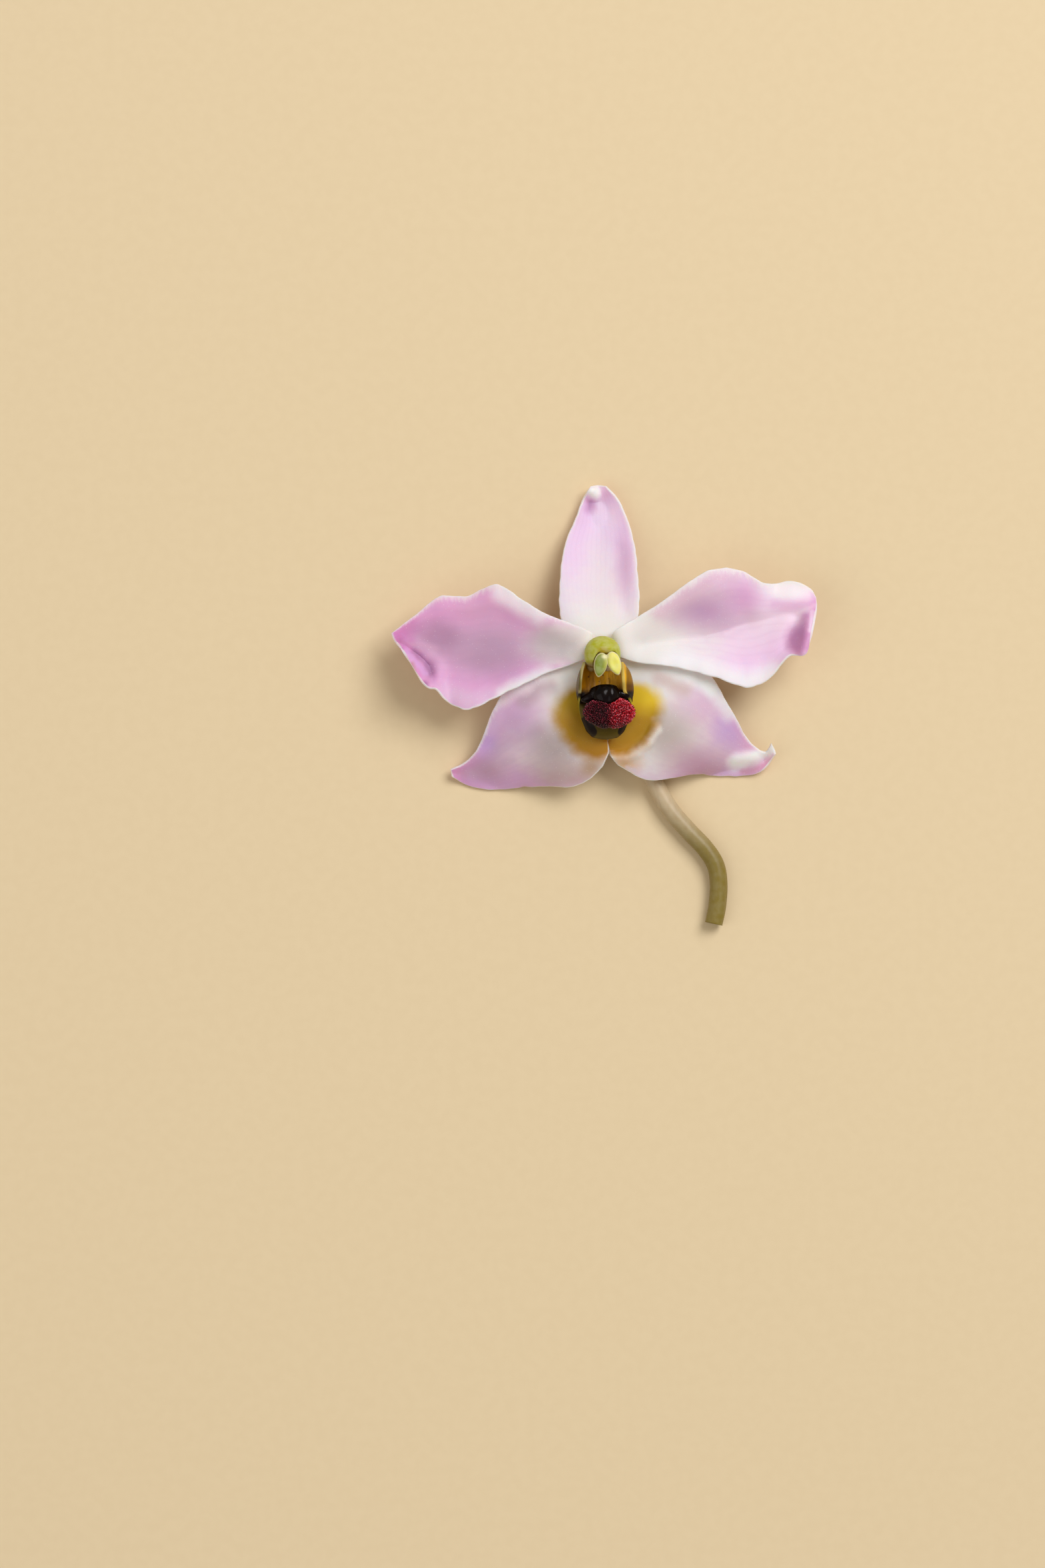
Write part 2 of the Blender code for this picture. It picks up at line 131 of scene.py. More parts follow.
RIGHT_PETAL: Stations = (
    ((0.75, 0.30, 4.75), (0.80, 0.80, 4.65), (0.60, 1.35, 4.75)),
    ((1.75, -0.10, 6.30), (1.60, 1.15, 6.20), (1.15, 2.50, 6.30)),
    ((3.30, -0.60, 6.20), (3.20, 1.50, 5.95), (3.00, 3.70, 6.20)),
    ((5.90, -0.90, 6.10), (5.60, 2.00, 5.50), (5.40, 5.15, 6.25)),
    ((8.60, -1.40, 6.00), (8.30, 2.60, 5.00), (8.00, 7.05, 6.30)),
    ((11.40, -2.20, 5.70), (11.10, 3.00, 4.60), (10.70, 8.60, 6.20)),
    ((14.30, -3.05, 5.20), (13.80, 3.30, 4.30), (13.30, 8.60, 5.50)),
    ((16.40, -2.25, 4.90), (16.50, 3.60, 4.20), (16.20, 7.30, 4.90)),
    ((18.30, -0.05, 5.70), (18.90, 3.90, 4.50), (18.80, 7.50, 5.30)),
    ((20.00, 0.25, 6.10), (20.40, 4.30, 5.00), (20.50, 6.80, 5.20)),
    ((20.80, 3.40, 5.70), (21.15, 4.90, 5.20), (21.10, 5.80, 5.10)),
)
LEFT_LATERAL_SEPAL: Stations = (
    ((-0.20, -5.90, 4.70), (-0.25, -3.20, 4.75), (-0.70, -0.10, 4.75)),
    ((-1.60, -6.50, 4.20), (-1.55, -3.60, 4.45), (-1.90, -0.30, 4.90)),
    ((0.35, -8.30, 4.60), (-2.40, -4.90, 4.55), (-3.40, -0.45, 4.95)),
    ((0.45, -9.80, 4.60), (-3.40, -6.10, 4.75), (-5.20, -1.05, 4.95)),
    ((-0.75, -11.70, 3.60), (-4.90, -7.30, 4.80), (-7.30, -1.95, 4.85)),
    ((-3.00, -12.85, 2.60), (-6.70, -8.30, 4.10), (-9.50, -3.10, 4.40)),
    ((-5.80, -12.80, 1.60), (-8.60, -9.50, 3.00), (-10.95, -5.30, 3.70)),
    ((-8.60, -13.00, 0.70), (-10.40, -10.50, 1.80), (-11.85, -7.70, 2.70)),
    ((-11.20, -13.15, 0.00), (-12.00, -11.20, 0.80), (-12.70, -9.40, 1.80)),
    ((-13.40, -12.75, 0.00), (-13.70, -11.50, 0.50), (-13.80, -10.50, 1.30)),
    ((-15.00, -11.85, 1.00), (-15.10, -11.50, 1.00), (-15.15, -11.15, 1.20)),
)
RIGHT_LATERAL_SEPAL: Stations = (
    ((0.50, -6.00, 4.70), (0.55, -3.20, 4.75), (0.80, -0.05, 4.75)),
    ((1.35, -6.90, 4.00), (1.80, -3.60, 4.55), (2.20, -0.20, 4.90)),
    ((0.50, -8.20, 3.85), (2.80, -4.90, 4.50), (3.80, -0.30, 4.95)),
    ((0.65, -9.60, 3.75), (3.90, -6.10, 4.75), (5.60, -0.25, 4.95)),
    ((1.75, -10.90, 3.70), (5.50, -7.10, 4.80), (8.10, -0.45, 4.85)),
    ((4.20, -12.15, 3.40), (7.40, -8.00, 4.40), (10.40, -1.45, 4.40)),
    ((6.60, -12.05, 2.70), (9.30, -8.80, 3.40), (12.00, -4.00, 3.80)),
    ((9.00, -11.60, 1.60), (11.10, -9.50, 2.20), (13.10, -5.80, 3.00)),
    ((11.40, -11.80, -0.15), (12.70, -10.00, 1.10), (14.00, -7.50, 2.10)),
    ((13.60, -11.80, -0.05), (14.30, -10.30, 0.80), (15.00, -8.75, 1.70)),
    ((15.70, -11.40, 0.80), (15.95, -10.25, 1.10), (16.15, -9.40, 1.90)),
    ((17.20, -9.60, 2.50), (17.05, -9.10, 2.60), (16.75, -8.55, 2.80)),
)
LIP_HALF: tuple[tuple[Spot, Point, Point], ...] = (
    ((-1.45, 6.20), (1.65, -1.15, 6.85), (2.10, -0.55, 8.00)),
    ((-1.90, 6.15), (2.15, -1.65, 7.00), (2.05, -1.35, 8.50)),
    ((-2.70, 6.20), (2.45, -2.60, 7.00), (1.95, -2.45, 8.70)),
    ((-3.70, 6.40), (2.50, -3.60, 6.90), (1.95, -3.50, 8.30)),
    ((-4.60, 6.65), (2.15, -4.55, 6.85), (2.55, -4.45, 7.30)),
    ((-5.70, 6.85), (1.70, -5.65, 6.80), (2.50, -5.55, 6.40)),
    ((-6.80, 6.75), (1.40, -6.70, 6.55), (2.15, -6.60, 6.05)),
    ((-7.55, 6.30), (1.20, -7.45, 6.10), (1.80, -7.30, 5.80)),
    ((-8.05, 5.70), (0.80, -7.95, 5.60), (1.35, -7.80, 5.45)),
)
LIP_LEAN: Path = (
    (-0.02, -0.50),
    (-0.28, -0.42),
    (-0.52, -0.25),
    (-0.58, -0.10),
    (-0.10, 0.00),
    (0.00, 0.00),
    (0.00, 0.00),
    (0.00, 0.00),
    (0.00, 0.00),
)
STALK_LINE: tuple[Point, ...] = (
    (0.10, 0.55, 4.35),
    (0.15, 0.45, 3.60),
    (0.60, -0.90, 2.40),
    (1.50, -3.60, 1.60),
    (2.80, -7.00, 1.15),
    (4.15, -10.30, 0.90),
    (5.45, -13.00, 0.90),
    (6.70, -15.10, 0.90),
    (8.40, -17.10, 0.90),
    (10.20, -19.00, 0.90),
    (11.25, -20.70, 0.90),
    (11.55, -22.60, 0.90),
    (11.40, -24.80, 0.90),
    (11.05, -26.50, 0.90),
)


def tone(code: str) -> Colour:
    """The linear colour of a six-figure screen colour.

    Args:
        code: Red, green and blue as they look on a screen, two hexadecimal figures each.

    Returns:
        The colour that the shader nodes take.
    """
    parts = [int(code[place : place + 2], 16) / 255 for place in (0, 2, 4)]
    linear = [part / 12.92 if part <= 0.04045 else ((part + 0.055) / 1.055) ** 2.4 for part in parts]
    return (linear[0], linear[1], linear[2], 1.0)


def span_of(share: np.ndarray, spans: int) -> tuple[np.ndarray, np.ndarray]:
    """Finds places on a curve that is made of equal spans.

    Args:
        share: Where on the curve to look, from 0 at its start to 1 at its end.
        spans: How many spans it has.

    Returns:
        The number of the span that each share falls in, and how far along that span it is.
    """
    at = np.clip(share, 0.0, 1.0) * spans
    low = np.minimum(at.astype(int), spans - 1)
    return low, at - low


def between(a: np.ndarray, b: np.ndarray, c: np.ndarray, d: np.ndarray, t: np.ndarray) -> np.ndarray:
    """Points of a smooth curve on the span between two of its points.

    Args:
        a: The point before the span.
        b: The point at the span's start.
        c: The point at the span's end.
        d: The point after the span.
        t: How far along the span to look, 0 to 1.

    Returns:
        One point for each place along the span.
    """
    bend = (2 * a - 5 * b + 4 * c - d) * t**2 + (3 * b - a - 3 * c + d) * t**3
    return 0.5 * (2 * b + (c - a) * t + bend)


def smooth_curve(points: np.ndarray, share: np.ndarray) -> np.ndarray:
    """Points of a smooth curve that passes through all the given ones.

    Args:
        points: The points to pass through, one row each.
        share: Where on the curve to look, from 0 at its start to 1 at its end.

    Returns:
        One point for each share.
    """
    padded = np.concatenate(([2 * points[0] - points[1]], points, [2 * points[-1] - points[-2]]))
    low, t = span_of(share, len(points) - 1)
    t = t.reshape(-1, *([1] * (points.ndim - 1)))
    return between(padded[low], padded[low + 1], padded[low + 2], padded[low + 3], t)


def over_guides(guides: np.ndarray, u: np.ndarray, v: np.ndarray) -> np.ndarray:
    """Points of the sheet that a set of guide curves carries.

    Args:
        guides: Stations by guides by three: the rows of a blade's table.
        u: Where along the guides, 0 to 1.
        v: Where across them, -1 to 1.

    Returns:
        One point for each pair of u and v, in the guides' unit.
    """
    rows = smooth_curve(guides, u)
    padded = np.concatenate(
        (2 * rows[:, :1] - rows[:, 1:2], rows, 2 * rows[:, -1:] - rows[:, -2:-1]), axis=1
    )
    low, t = span_of((v + 1) / 2, rows.shape[1] - 1)
    each = np.arange(len(rows))
    a, b, c, d = (padded[each, low + step] for step in range(4))
    return between(a, b, c, d, t[:, None])


def distance_to_line(spots: np.ndarray, path: Path) -> np.ndarray:
    """How far each spot lies from a line of straight runs, seen from above.

    Args:
        spots: One x and y each.
        path: The line's corners.

    Returns:
        One distance for each spot.
    """
    line = np.array(path, float)
    nearest = np.full(len(spots), np.inf)
    for start, end in zip(line[:-1], line[1:]):
        run = end - start
        share = np.clip(((spots - start) @ run) / (run @ run), 0.0, 1.0)
        nearest = np.minimum(nearest, np.linalg.norm(spots - start - share[:, None] * run, axis=1))
    return nearest


def unit(rows: np.ndarray) -> np.ndarray:
    """Rows of vectors, each made one long."""
    return rows / np.linalg.norm(rows, axis=1)[:, None]


def turn_about_z(turn: float) -> np.ndarray:
    """The matrix that turns rows of points about Z by an angle in radians."""
    c, s = math.cos(turn), math.sin(turn)
    return np.array(((c, s, 0.0), (-s, c, 0.0), (0.0, 0.0, 1.0)))


def points_of(piece: Piece) -> np.ndarray:
    """The places of a mesh's points as its own mesh counts them.

    Args:
        piece: The piece.

    Returns:
        One row for each point.
    """
    flat = np.empty(len(piece.data.vertices) * 3)
    piece.data.vertices.foreach_get("co", flat)
    return flat.reshape(-1, 3)


def flower_points(piece: Piece) -> np.ndarray:
    """The places of a mesh's points in millimetres from the flower's middle."""
    return points_of(piece) / MM - FLOWER_PLACE


def to_row(points: np.ndarray) -> np.ndarray:
    """Millimetres from the flower's middle as metres in the shared frame."""
    return (points + FLOWER_PLACE) * MM


def row_vector(point: Point) -> Vector:
    """One point in millimetres from the flower's middle as metres in the shared frame."""
    return Vector(to_row(np.array(point)))


def set_points(piece: Piece, points: np.ndarray) -> None:
    """Moves a mesh's points to new places, in metres."""
    piece.data.vertices.foreach_set("co", points.ravel())
    piece.data.update()


def place_points(piece: Piece, points: np.ndarray) -> None:
    """Moves a mesh's points to new places, in millimetres from the flower's middle."""
    set_points(piece, to_row(points))


def store_values(piece: Piece, name: str, values: np.ndarray) -> None:
    """Stores one value for each point of a mesh, for a finish to read."""
    attribute = piece.data.attributes.new(name, "FLOAT", "POINT")
    attribute.data.foreach_set("value", values)


def deselect() -> None:
    """Leaves nothing selected, so that the next operator acts on the next primitive alone."""
    bpy.ops.object.select_all(action="DESELECT")


def newest() -> Piece:
    """The object that the last operator made."""
    return bpy.context.view_layer.objects.active


def make_active(piece: Piece) -> None:
    """Selects one piece and nothing else.

    Args:
        piece: The piece.
    """
    deselect()
    piece.select_set(True)
    bpy.context.view_layer.objects.active = piece


def apply_modifier(piece: Piece, kind: str, **settings: object) -> None:
    """Adds a modifier to a piece and applies it.

    Args:
        piece: The piece that it works on.
        kind: Blender's name for the modifier's type.
        settings: The modifier's own settings.
    """
    make_active(piece)
    bpy.ops.object.modifier_add(type=kind)
    modifier = piece.modifiers[-1]
    for name, value in settings.items():
        setattr(modifier, name, value)
    bpy.ops.object.modifier_apply(modifier=modifier.name)


def merge_with(piece: Piece, other: Piece, join: Join = Join.ADD) -> None:
    """Adds another piece to this one or cuts it out of it, and removes it.

    Args:
        piece: The piece that stays.
        other: The piece that is used up.
        join: What the other piece does to this one.
    """
    apply_modifier(piece, "BOOLEAN", operation=join.value, object=other, solver="EXACT")
    bpy.data.objects.remove(other)


def even_skin(piece: Piece, cell: float, passes: int) -> None:
    """Gives a joined solid one even skin, with cells so wide, and smooths it so many times."""
    apply_modifier(piece, "REMESH", mode="VOXEL", voxel_size=cell * MM)
    apply_modifier(piece, "SMOOTH", factor=0.5, iterations=passes)


def plain_sheet(steps: tuple[int, int]) -> tuple[Piece, np.ndarray, np.ndarray]:
    """Adds a flat sheet to shape.

    Args:
        steps: How many faces it has along it and across it.

    Returns:
        The sheet, where along it each point is, 0 to 1, and where across it, -1 to 1.
    """
    deselect()
    bpy.ops.mesh.primitive_grid_add(x_subdivisions=steps[0], y_subdivisions=steps[1], size=2.0)
    sheet = newest()
    flat = points_of(sheet)
    return sheet, (flat[:, 0] + 1) / 2, flat[:, 1]


def fine_ball() -> Piece:
    """Adds a ball of one metre's radius to shape, with small faces of one size.

    Returns:
        The ball.
    """
    deselect()
    bpy.ops.mesh.primitive_ico_sphere_add(subdivisions=5, radius=1.0)
    return newest()


def egg(middle: Point, radii: Point, turn: float = 0.0, segments: int = 48) -> Piece:
    """Adds a ball with a radius for each axis.

    Args:
        middle: Its middle.
        radii: Its radii.
        turn: Its turn about Z, in radians.
        segments: How many faces run round it.

    Returns:
        The ball, with its place in its mesh.
    """
    deselect()
    bpy.ops.mesh.primitive_uv_sphere_add(segments=segments, ring_count=segments // 2, radius=1.0)
    ball = newest()
    points = (points_of(ball) * np.array(radii)) @ turn_about_z(turn)
    place_points(ball, points + np.array(middle))
    return ball


def round_ball() -> tuple[Piece, np.ndarray]:
    """Adds a ball of one millimetre's radius to shape, and gives it with its points."""
    ball = egg((0.0, 0.0, 0.0), (1.0, 1.0, 1.0))
    return ball, flower_points(ball)


def thicken(sheet: Piece, share: np.ndarray, thickness: float, margin_share: float) -> None:
    """Gives a sheet its thickness, which varies from place to place, and rounds it.

    Args:
        sheet: The sheet.
        share: How thick each point is, from 0, as at a margin, to 1, in full.
        thickness: The full thickness.
        margin_share: The share of it that is left at a margin.
    """
    body = sheet.vertex_groups.new(name="body")
    for index, weight in enumerate(share):
        body.add([index], float(weight), "REPLACE")
    apply_modifier(
        sheet,
        "SOLIDIFY",
        thickness=thickness * MM,
        offset=0.0,
        use_even_offset=False,
        vertex_group="body",
        thickness_vertex_group=margin_share,
    )
    apply_modifier(sheet, "SUBSURF", levels=1, render_levels=1)


def hand_over(piece: Piece, material: Material, name: str, slot: Slot, *nodes: str) -> None:
    """Dresses and names a finished piece, and hides the solids that it stands for.

    Args:
        piece: The finished piece.
        material: Its material.
        name: Its name.
        slot: The record's slot that it takes its finish from; not used.
        nodes: The solids that it stands for.
    """
    piece.data.materials.clear()
    piece.data.materials.append(material)
    make_active(piece)
    bpy.ops.object.transform_apply(location=True, rotation=True, scale=True)
    bpy.ops.object.shade_smooth()
    piece.name = name
    piece.data.name = name
    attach(piece, "root")
    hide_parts(*nodes)
    LOG.info("%s: %d faces", name, len(piece.data.polygons))


class Graph:
    """A node tree under way, with short calls for the nodes that these finishes use."""

    def __init__(self, tree: Tree) -> None:
        """Starts on a tree."""
        self.tree = tree

    def feed(self, node: Node, key: str | int, value: object) -> None:
        """Gives one input of a node what it takes.

        Args:
            node: The node.
            key: The input's name or number.
            value: A socket, or a plain value.
        """
        if isinstance(value, Socket):
            self.tree.links.new(value, node.inputs[key])
        else:
            node.inputs[key].default_value = value

    def node(self, kind: str, feeds: Feeds | None = None, **settings: object) -> Node:
        """Adds a node.

        Args:
            kind: Blender's name for the node's type.
            feeds: What each input gets: a socket, or a plain value.
            settings: The node's own settings.

        Returns:
            The node.
        """
        made = self.tree.nodes.new(kind)
        for name, value in settings.items():
            setattr(made, name, value)
        for key, value in (feeds or {}).items():
            self.feed(made, key, value)
        return made

    def group(self, group: Tree, feeds: Feeds) -> Node:
        """Places a node group."""
        return self.node("ShaderNodeGroup", feeds, node_tree=group)

    def math(self, operation: str, first: object, second: object = 0.0, clamp: bool = False) -> Socket:
        """The result of one sum, kept within 0 and 1 where clamp says so."""
        return self.node("ShaderNodeMath", {0: first, 1: second}, operation=operation, use_clamp=clamp).outputs[0]

    def times(self, first: object, second: object) -> Socket:
        """The product of two values."""
        return self.math("MULTIPLY", first, second)

    def fold(self, operation: str, values: list[Socket]) -> Socket:
        """The result of one sum over several values in turn.

        Args:
            operation: Blender's name for the sum.
            values: The values.

        Returns:
            The socket with the result.
        """
        result = values[0]
        for value in values[1:]:
            result = self.math(operation, result, value)
        return result

    def vector(self, operation: str, first: object, second: object) -> Socket:
        """The vector that one sum of two vectors gives."""
        return self.node("ShaderNodeVectorMath", {0: first, 1: second}, operation=operation).outputs["Vector"]

    def length(self, operation: str, first: object, second: object = (0.0, 0.0, 0.0)) -> Socket:
        """The number that one sum of two vectors gives."""
        return self.node("ShaderNodeVectorMath", {0: first, 1: second}, operation=operation).outputs["Value"]

    def scaled(self, place: object, by: Point) -> Socket:
        """A place with each axis stretched by its own factor."""
        return self.vector("MULTIPLY", place, by)

    def parts(self, vector: Socket) -> list[Socket]:
        """The x, y and z of a vector."""
        return list(self.node("ShaderNodeSeparateXYZ", {0: vector}).outputs)

    def ramp(
        self, value: object, low: float, high: float, start: float = 0.0, end: float = 1.0, ease: Ease = Ease.SOFT
    ) -> Socket:
        """A mask that passes from one level to another.

        Args:
            value: What it follows.
            low: The value at which it starts to change.
            high: The value at which it has changed.
            start: Its level before.
            end: Its level after.
            ease: How it passes.

        Returns:
            The socket with the mask.
        """
        feeds = {"Value": value, "From Min": low, "From Max": high, "To Min": start, "To Max": end}
        return self.node("ShaderNodeMapRange", feeds, interpolation_type=ease.value).outputs["Result"]

    def mix(self, share: object, first: object, second: object) -> Socket:
        """A colour between two, with so much of the second one."""
        return self.node("ShaderNodeMix", {"Factor": share, 6: first, 7: second}, data_type="RGBA").outputs[2]

    def noise(self, place: object, scale: object, detail: float = 2.0, rough: float = 0.5) -> Socket:
        """Soft noise from 0 to 1, at so many patches a millimetre."""
        feeds = {"Vector": place, "Scale": scale, "Detail": detail, "Roughness": rough}
        return self.node("ShaderNodeTexNoise", feeds).outputs["Fac"]

    def stored(self, name: str) -> Socket:
        """A value that is stored at the piece's points."""
        return self.node("ShaderNodeAttribute", attribute_name=name).outputs["Fac"]

    def flower_place(self) -> Socket:
        """The place on the piece in millimetres from the flower's middle.

        Returns:
            The socket with the place.
        """
        here = self.node("ShaderNodeTexCoord").outputs["Object"]
        feeds = {"Vector": here, "Location": tuple(-FLOWER_PLACE), "Scale": (1 / MM,) * 3}
        return self.node("ShaderNodeMapping", feeds).outputs[0]

    def chart(self) -> Socket:
        """The place on the piece's own chart, along it and across it, each 0 to 1."""
        return self.node("ShaderNodeUVMap", uv_map="UVMap").outputs[0]

    def signed(self, side: Socket) -> Socket:
        """How far across a chart, from -1 at one margin to 1 at the other."""
        return self.times(self.math("SUBTRACT", side, 0.5), 2.0)

    def blob(self, place: Socket, middle: Point, radii: Point, core: float) -> Socket:
        """A soft round mask.

        Args:
            place: The place that is asked about.
            middle: The blob's middle.
            radii: How far it reaches along each axis.
            core: The share of its reach over which it is full.

        Returns:
            The socket with the mask, 1 inside and 0 outside.
        """
        off = self.vector("DIVIDE", self.vector("SUBTRACT", place, middle), radii)
        return self.ramp(self.length("LENGTH", off), core, 1.0, 1.0, 0.0)

    def patch(self, spot: Socket, middle: Spot, radii: Spot, core: float) -> Socket:
        """A soft round mask, seen from above, for a place whose z is at nought."""
        return self.blob(spot, (*middle, 0.0), (*radii, 1.0), core)

    def band(self, spot: Socket, path: Path, width: float, core: float) -> Socket:
        """A soft mask along a line of straight runs, seen from above.

        Args:
            spot: The place that is asked about, with its z at nought.
            path: The line's corners.
            width: How far the mask reaches to each side.
            core: The share of its reach over which it is full.

        Returns:
            The socket with the mask, 1 on the line and 0 outside.
        """
        away = []
        for start, end in zip(path[:-1], path[1:]):
            run = (end[0] - start[0], end[1] - start[1], 0.0)
            off = self.vector("SUBTRACT", spot, (*start, 0.0))
            share = self.math("DIVIDE", self.length("DOT_PRODUCT", off, run), run[0] ** 2 + run[1] ** 2, True)
            reach = self.node("ShaderNodeVectorMath", {0: run, "Scale": share}, operation="SCALE").outputs["Vector"]
            away.append(self.length("DISTANCE", off, reach))
        return self.ramp(self.fold("MINIMUM", away), core * width, width, 1.0, 0.0)

    def bump(self, shader: Node, height: object, strength: float, depth: float) -> None:
        """Gives a shader a bump.

        Args:
            shader: The shader.
            height: The socket with the height.
            strength: How strong the bump is, 0 to 1.
            depth: How deep it is.
        """
        made = self.node("ShaderNodeBump", {"Strength": strength, "Distance": depth * MM, "Height": height})
        self.feed(shader, "Normal", made.outputs[0])


def new_group(name: str, takes: dict[str, float | None], gives: tuple[str, ...]) -> tuple[Graph, Node, Node]:
    """Starts a node group.

    Args:
        name: The group's name.
        takes: Each input's starting value, or None for an input that takes a place.
        gives: The names of its outputs, which are all plain values.

    Returns:
        The group's graph, its input node and its output node.
    """
    tree = bpy.data.node_groups.new(name, "ShaderNodeTree")
    for title, value in takes.items():
        kind = "NodeSocketVector" if value is None else "NodeSocketFloat"
        socket = tree.interface.new_socket(title, in_out="INPUT", socket_type=kind)
        if value is not None:
            socket.default_value = value
    for title in gives:
        tree.interface.new_socket(title, in_out="OUTPUT", socket_type="NodeSocketFloat")
    graph = Graph(tree)
    return graph, graph.node("NodeGroupInput"), graph.node("NodeGroupOutput")


@dataclass
class TissueGroups:
    """The node groups that the finishes share."""

    vein_count: float = 13.0
    fan: tuple[float, float] = (0.45, 1.25)
    skin_per_mm: float = 9.0

    def __post_init__(self) -> None:
        """Builds each group once."""
        self.cells = self.build_cells()
        self.veins = self.build_veins()
        self.wax = self.build_wax()

    def build_cells(self) -> Tree:
        """Surface cells, a few of which are picked out for painted glints.

        Returns:
            A group that gives the cells' domes as Height, and as Sparkle the few cells that are painted as glints and
            made glossier.
        """
        takes = {"Place": None, "Per Millimetre": 7.0, "Share": 0.1}
        graph, given, result = new_group("surface_cells", takes, ("Height", "Sparkle"))
        feeds = {"Vector": given.outputs["Place"], "Scale": given.outputs["Per Millimetre"]}
        cell = graph.node("ShaderNodeTexVoronoi", feeds)
        luck = graph.parts(cell.outputs["Color"])[0]
        lucky = graph.math("GREATER_THAN", luck, graph.math("SUBTRACT", 1.0, given.outputs["Share"]))
        centre = graph.ramp(cell.outputs["Distance"], 0.15, 0.45, 1.0, 0.0)
        graph.feed(result, "Height", graph.ramp(cell.outputs["Distance"], 0.0, 0.7, 1.0, 0.0))
        graph.feed(result, "Sparkle", graph.times(lucky, centre))
        return graph.tree

    def build_veins(self) -> Tree:
        """Veins that leave the base together and part towards the margins.

        Returns:
            A group that gives 1 on a vein and 0 between two.
        """
        takes = {"Along": 0.0, "Across": 0.0, "Count": self.vein_count, "Place": None}
        graph, given, result = new_group("veins", takes, ("Vein",))
        reach = graph.ramp(given.outputs["Along"], 0.0, 1.0, *self.fan, Ease.EVEN)
        lane = graph.math("DIVIDE", given.outputs["Across"], reach)
        wander = graph.times(graph.noise(given.outputs["Place"], 0.35), 0.10)
        wave = graph.times(graph.math("ADD", lane, wander), given.outputs["Count"])
        graph.feed(result, "Vein", graph.ramp(graph.math("PINGPONG", wave, 0.5), 0.0, 0.28, 1.0, 0.0))
        return graph.tree

    def build_wax(self) -> Tree:
        """Waxy flesh: slow lights and darks, and a fine uneven skin.

        Returns:
            A group that gives the slow changes as Cloud and the skin as Height.
        """
        graph, given, result = new_group("waxy_flesh", {"Place": None, "Per Millimetre": 1.0}, ("Cloud", "Height"))
        cloud = graph.noise(given.outputs["Place"], given.outputs["Per Millimetre"], 3.0)
        graph.feed(result, "Cloud", graph.ramp(cloud, 0.3, 0.7))
        graph.feed(result, "Height", graph.noise(given.outputs["Place"], self.skin_per_mm))
        return graph.tree


@dataclass(frozen=True)
class Sheen:
    """The plain settings of a finish's shader. Depth is how far light passes into the flesh."""

    roughness: float = 0.42
    specular: float = 0.5
    subsurface: float = 0.0
    depth: float = 0.6
    coat: float = 0.0
    coat_roughness: float = 0.08
    light_shares: Point = (1.0, 0.55, 0.45)

    def start(self, name: str) -> tuple[Material, Graph, Node]:
        """Starts a material with these settings.

        Args:
            name: The material's name.

        Returns:
            The material, its graph and its shader.
        """
        material = bpy.data.materials.new(name)
        material.use_nodes = True
        shader = material.node_tree.nodes["Principled BSDF"]
        settings = {
            "Roughness": self.roughness,
            "Specular IOR Level": self.specular,
            "Subsurface Weight": self.subsurface,
            "Subsurface Radius": self.light_shares,
            "Subsurface Scale": self.depth * MM,
            "Coat Weight": self.coat,
            "Coat Roughness": self.coat_roughness,
        }
        graph = Graph(material.node_tree)
        for key, value in settings.items():
            graph.feed(shader, key, value)
        return material, graph, shader


@dataclass(frozen=True)
class Tint:
    """A soft patch of another colour on a blade: some are its own colour, others painted light and shade."""

    middle: Spot
    radii: Spot
    colour: str
    strength: float = 0.6
    core: float = 0.0


@dataclass(frozen=True)
class Stroke:
    """A soft band of another colour along a line on a blade, with more or less painted glint on it: some are its own
    colour, others painted light and shade.
    """

    path: Path
    width: float
    colour: str
    strength: float = 0.7
    core: float = 0.25
    glitter: float = 0.0


@dataclass(frozen=True)
class Blotch:
    """The yellow blotch of a lateral sepal: soft patches that run together, deeper in colour downwards."""

    patches: tuple[tuple[Spot, Spot], ...]
    upper: str
    middle: str
    lower: str
    core: float = 0.58
    strength: float = 0.98
    middle_span: Spot = (-4.2, -6.5)
    lower_span: Spot = (-7.2, -9.8)

    def mask(self, graph: Graph, spot: Socket) -> Socket:
        """Where the blotch is, for a place seen from above."""
        return graph.fold("MAXIMUM", [graph.patch(spot, *patch, self.core) for patch in self.patches])

    def yellow(self, graph: Graph, place: Socket) -> Socket:
        """The blotch's colour.

        Args:
            graph: The material's graph.
            place: The place on the piece.

        Returns:
            The socket with the colour.
        """
        _, y, _ = graph.parts(place)
        colour = graph.mix(graph.ramp(y, *self.middle_span), tone(self.upper), tone(self.middle))
        return graph.mix(graph.ramp(y, *self.lower_span), colour, tone(self.lower))


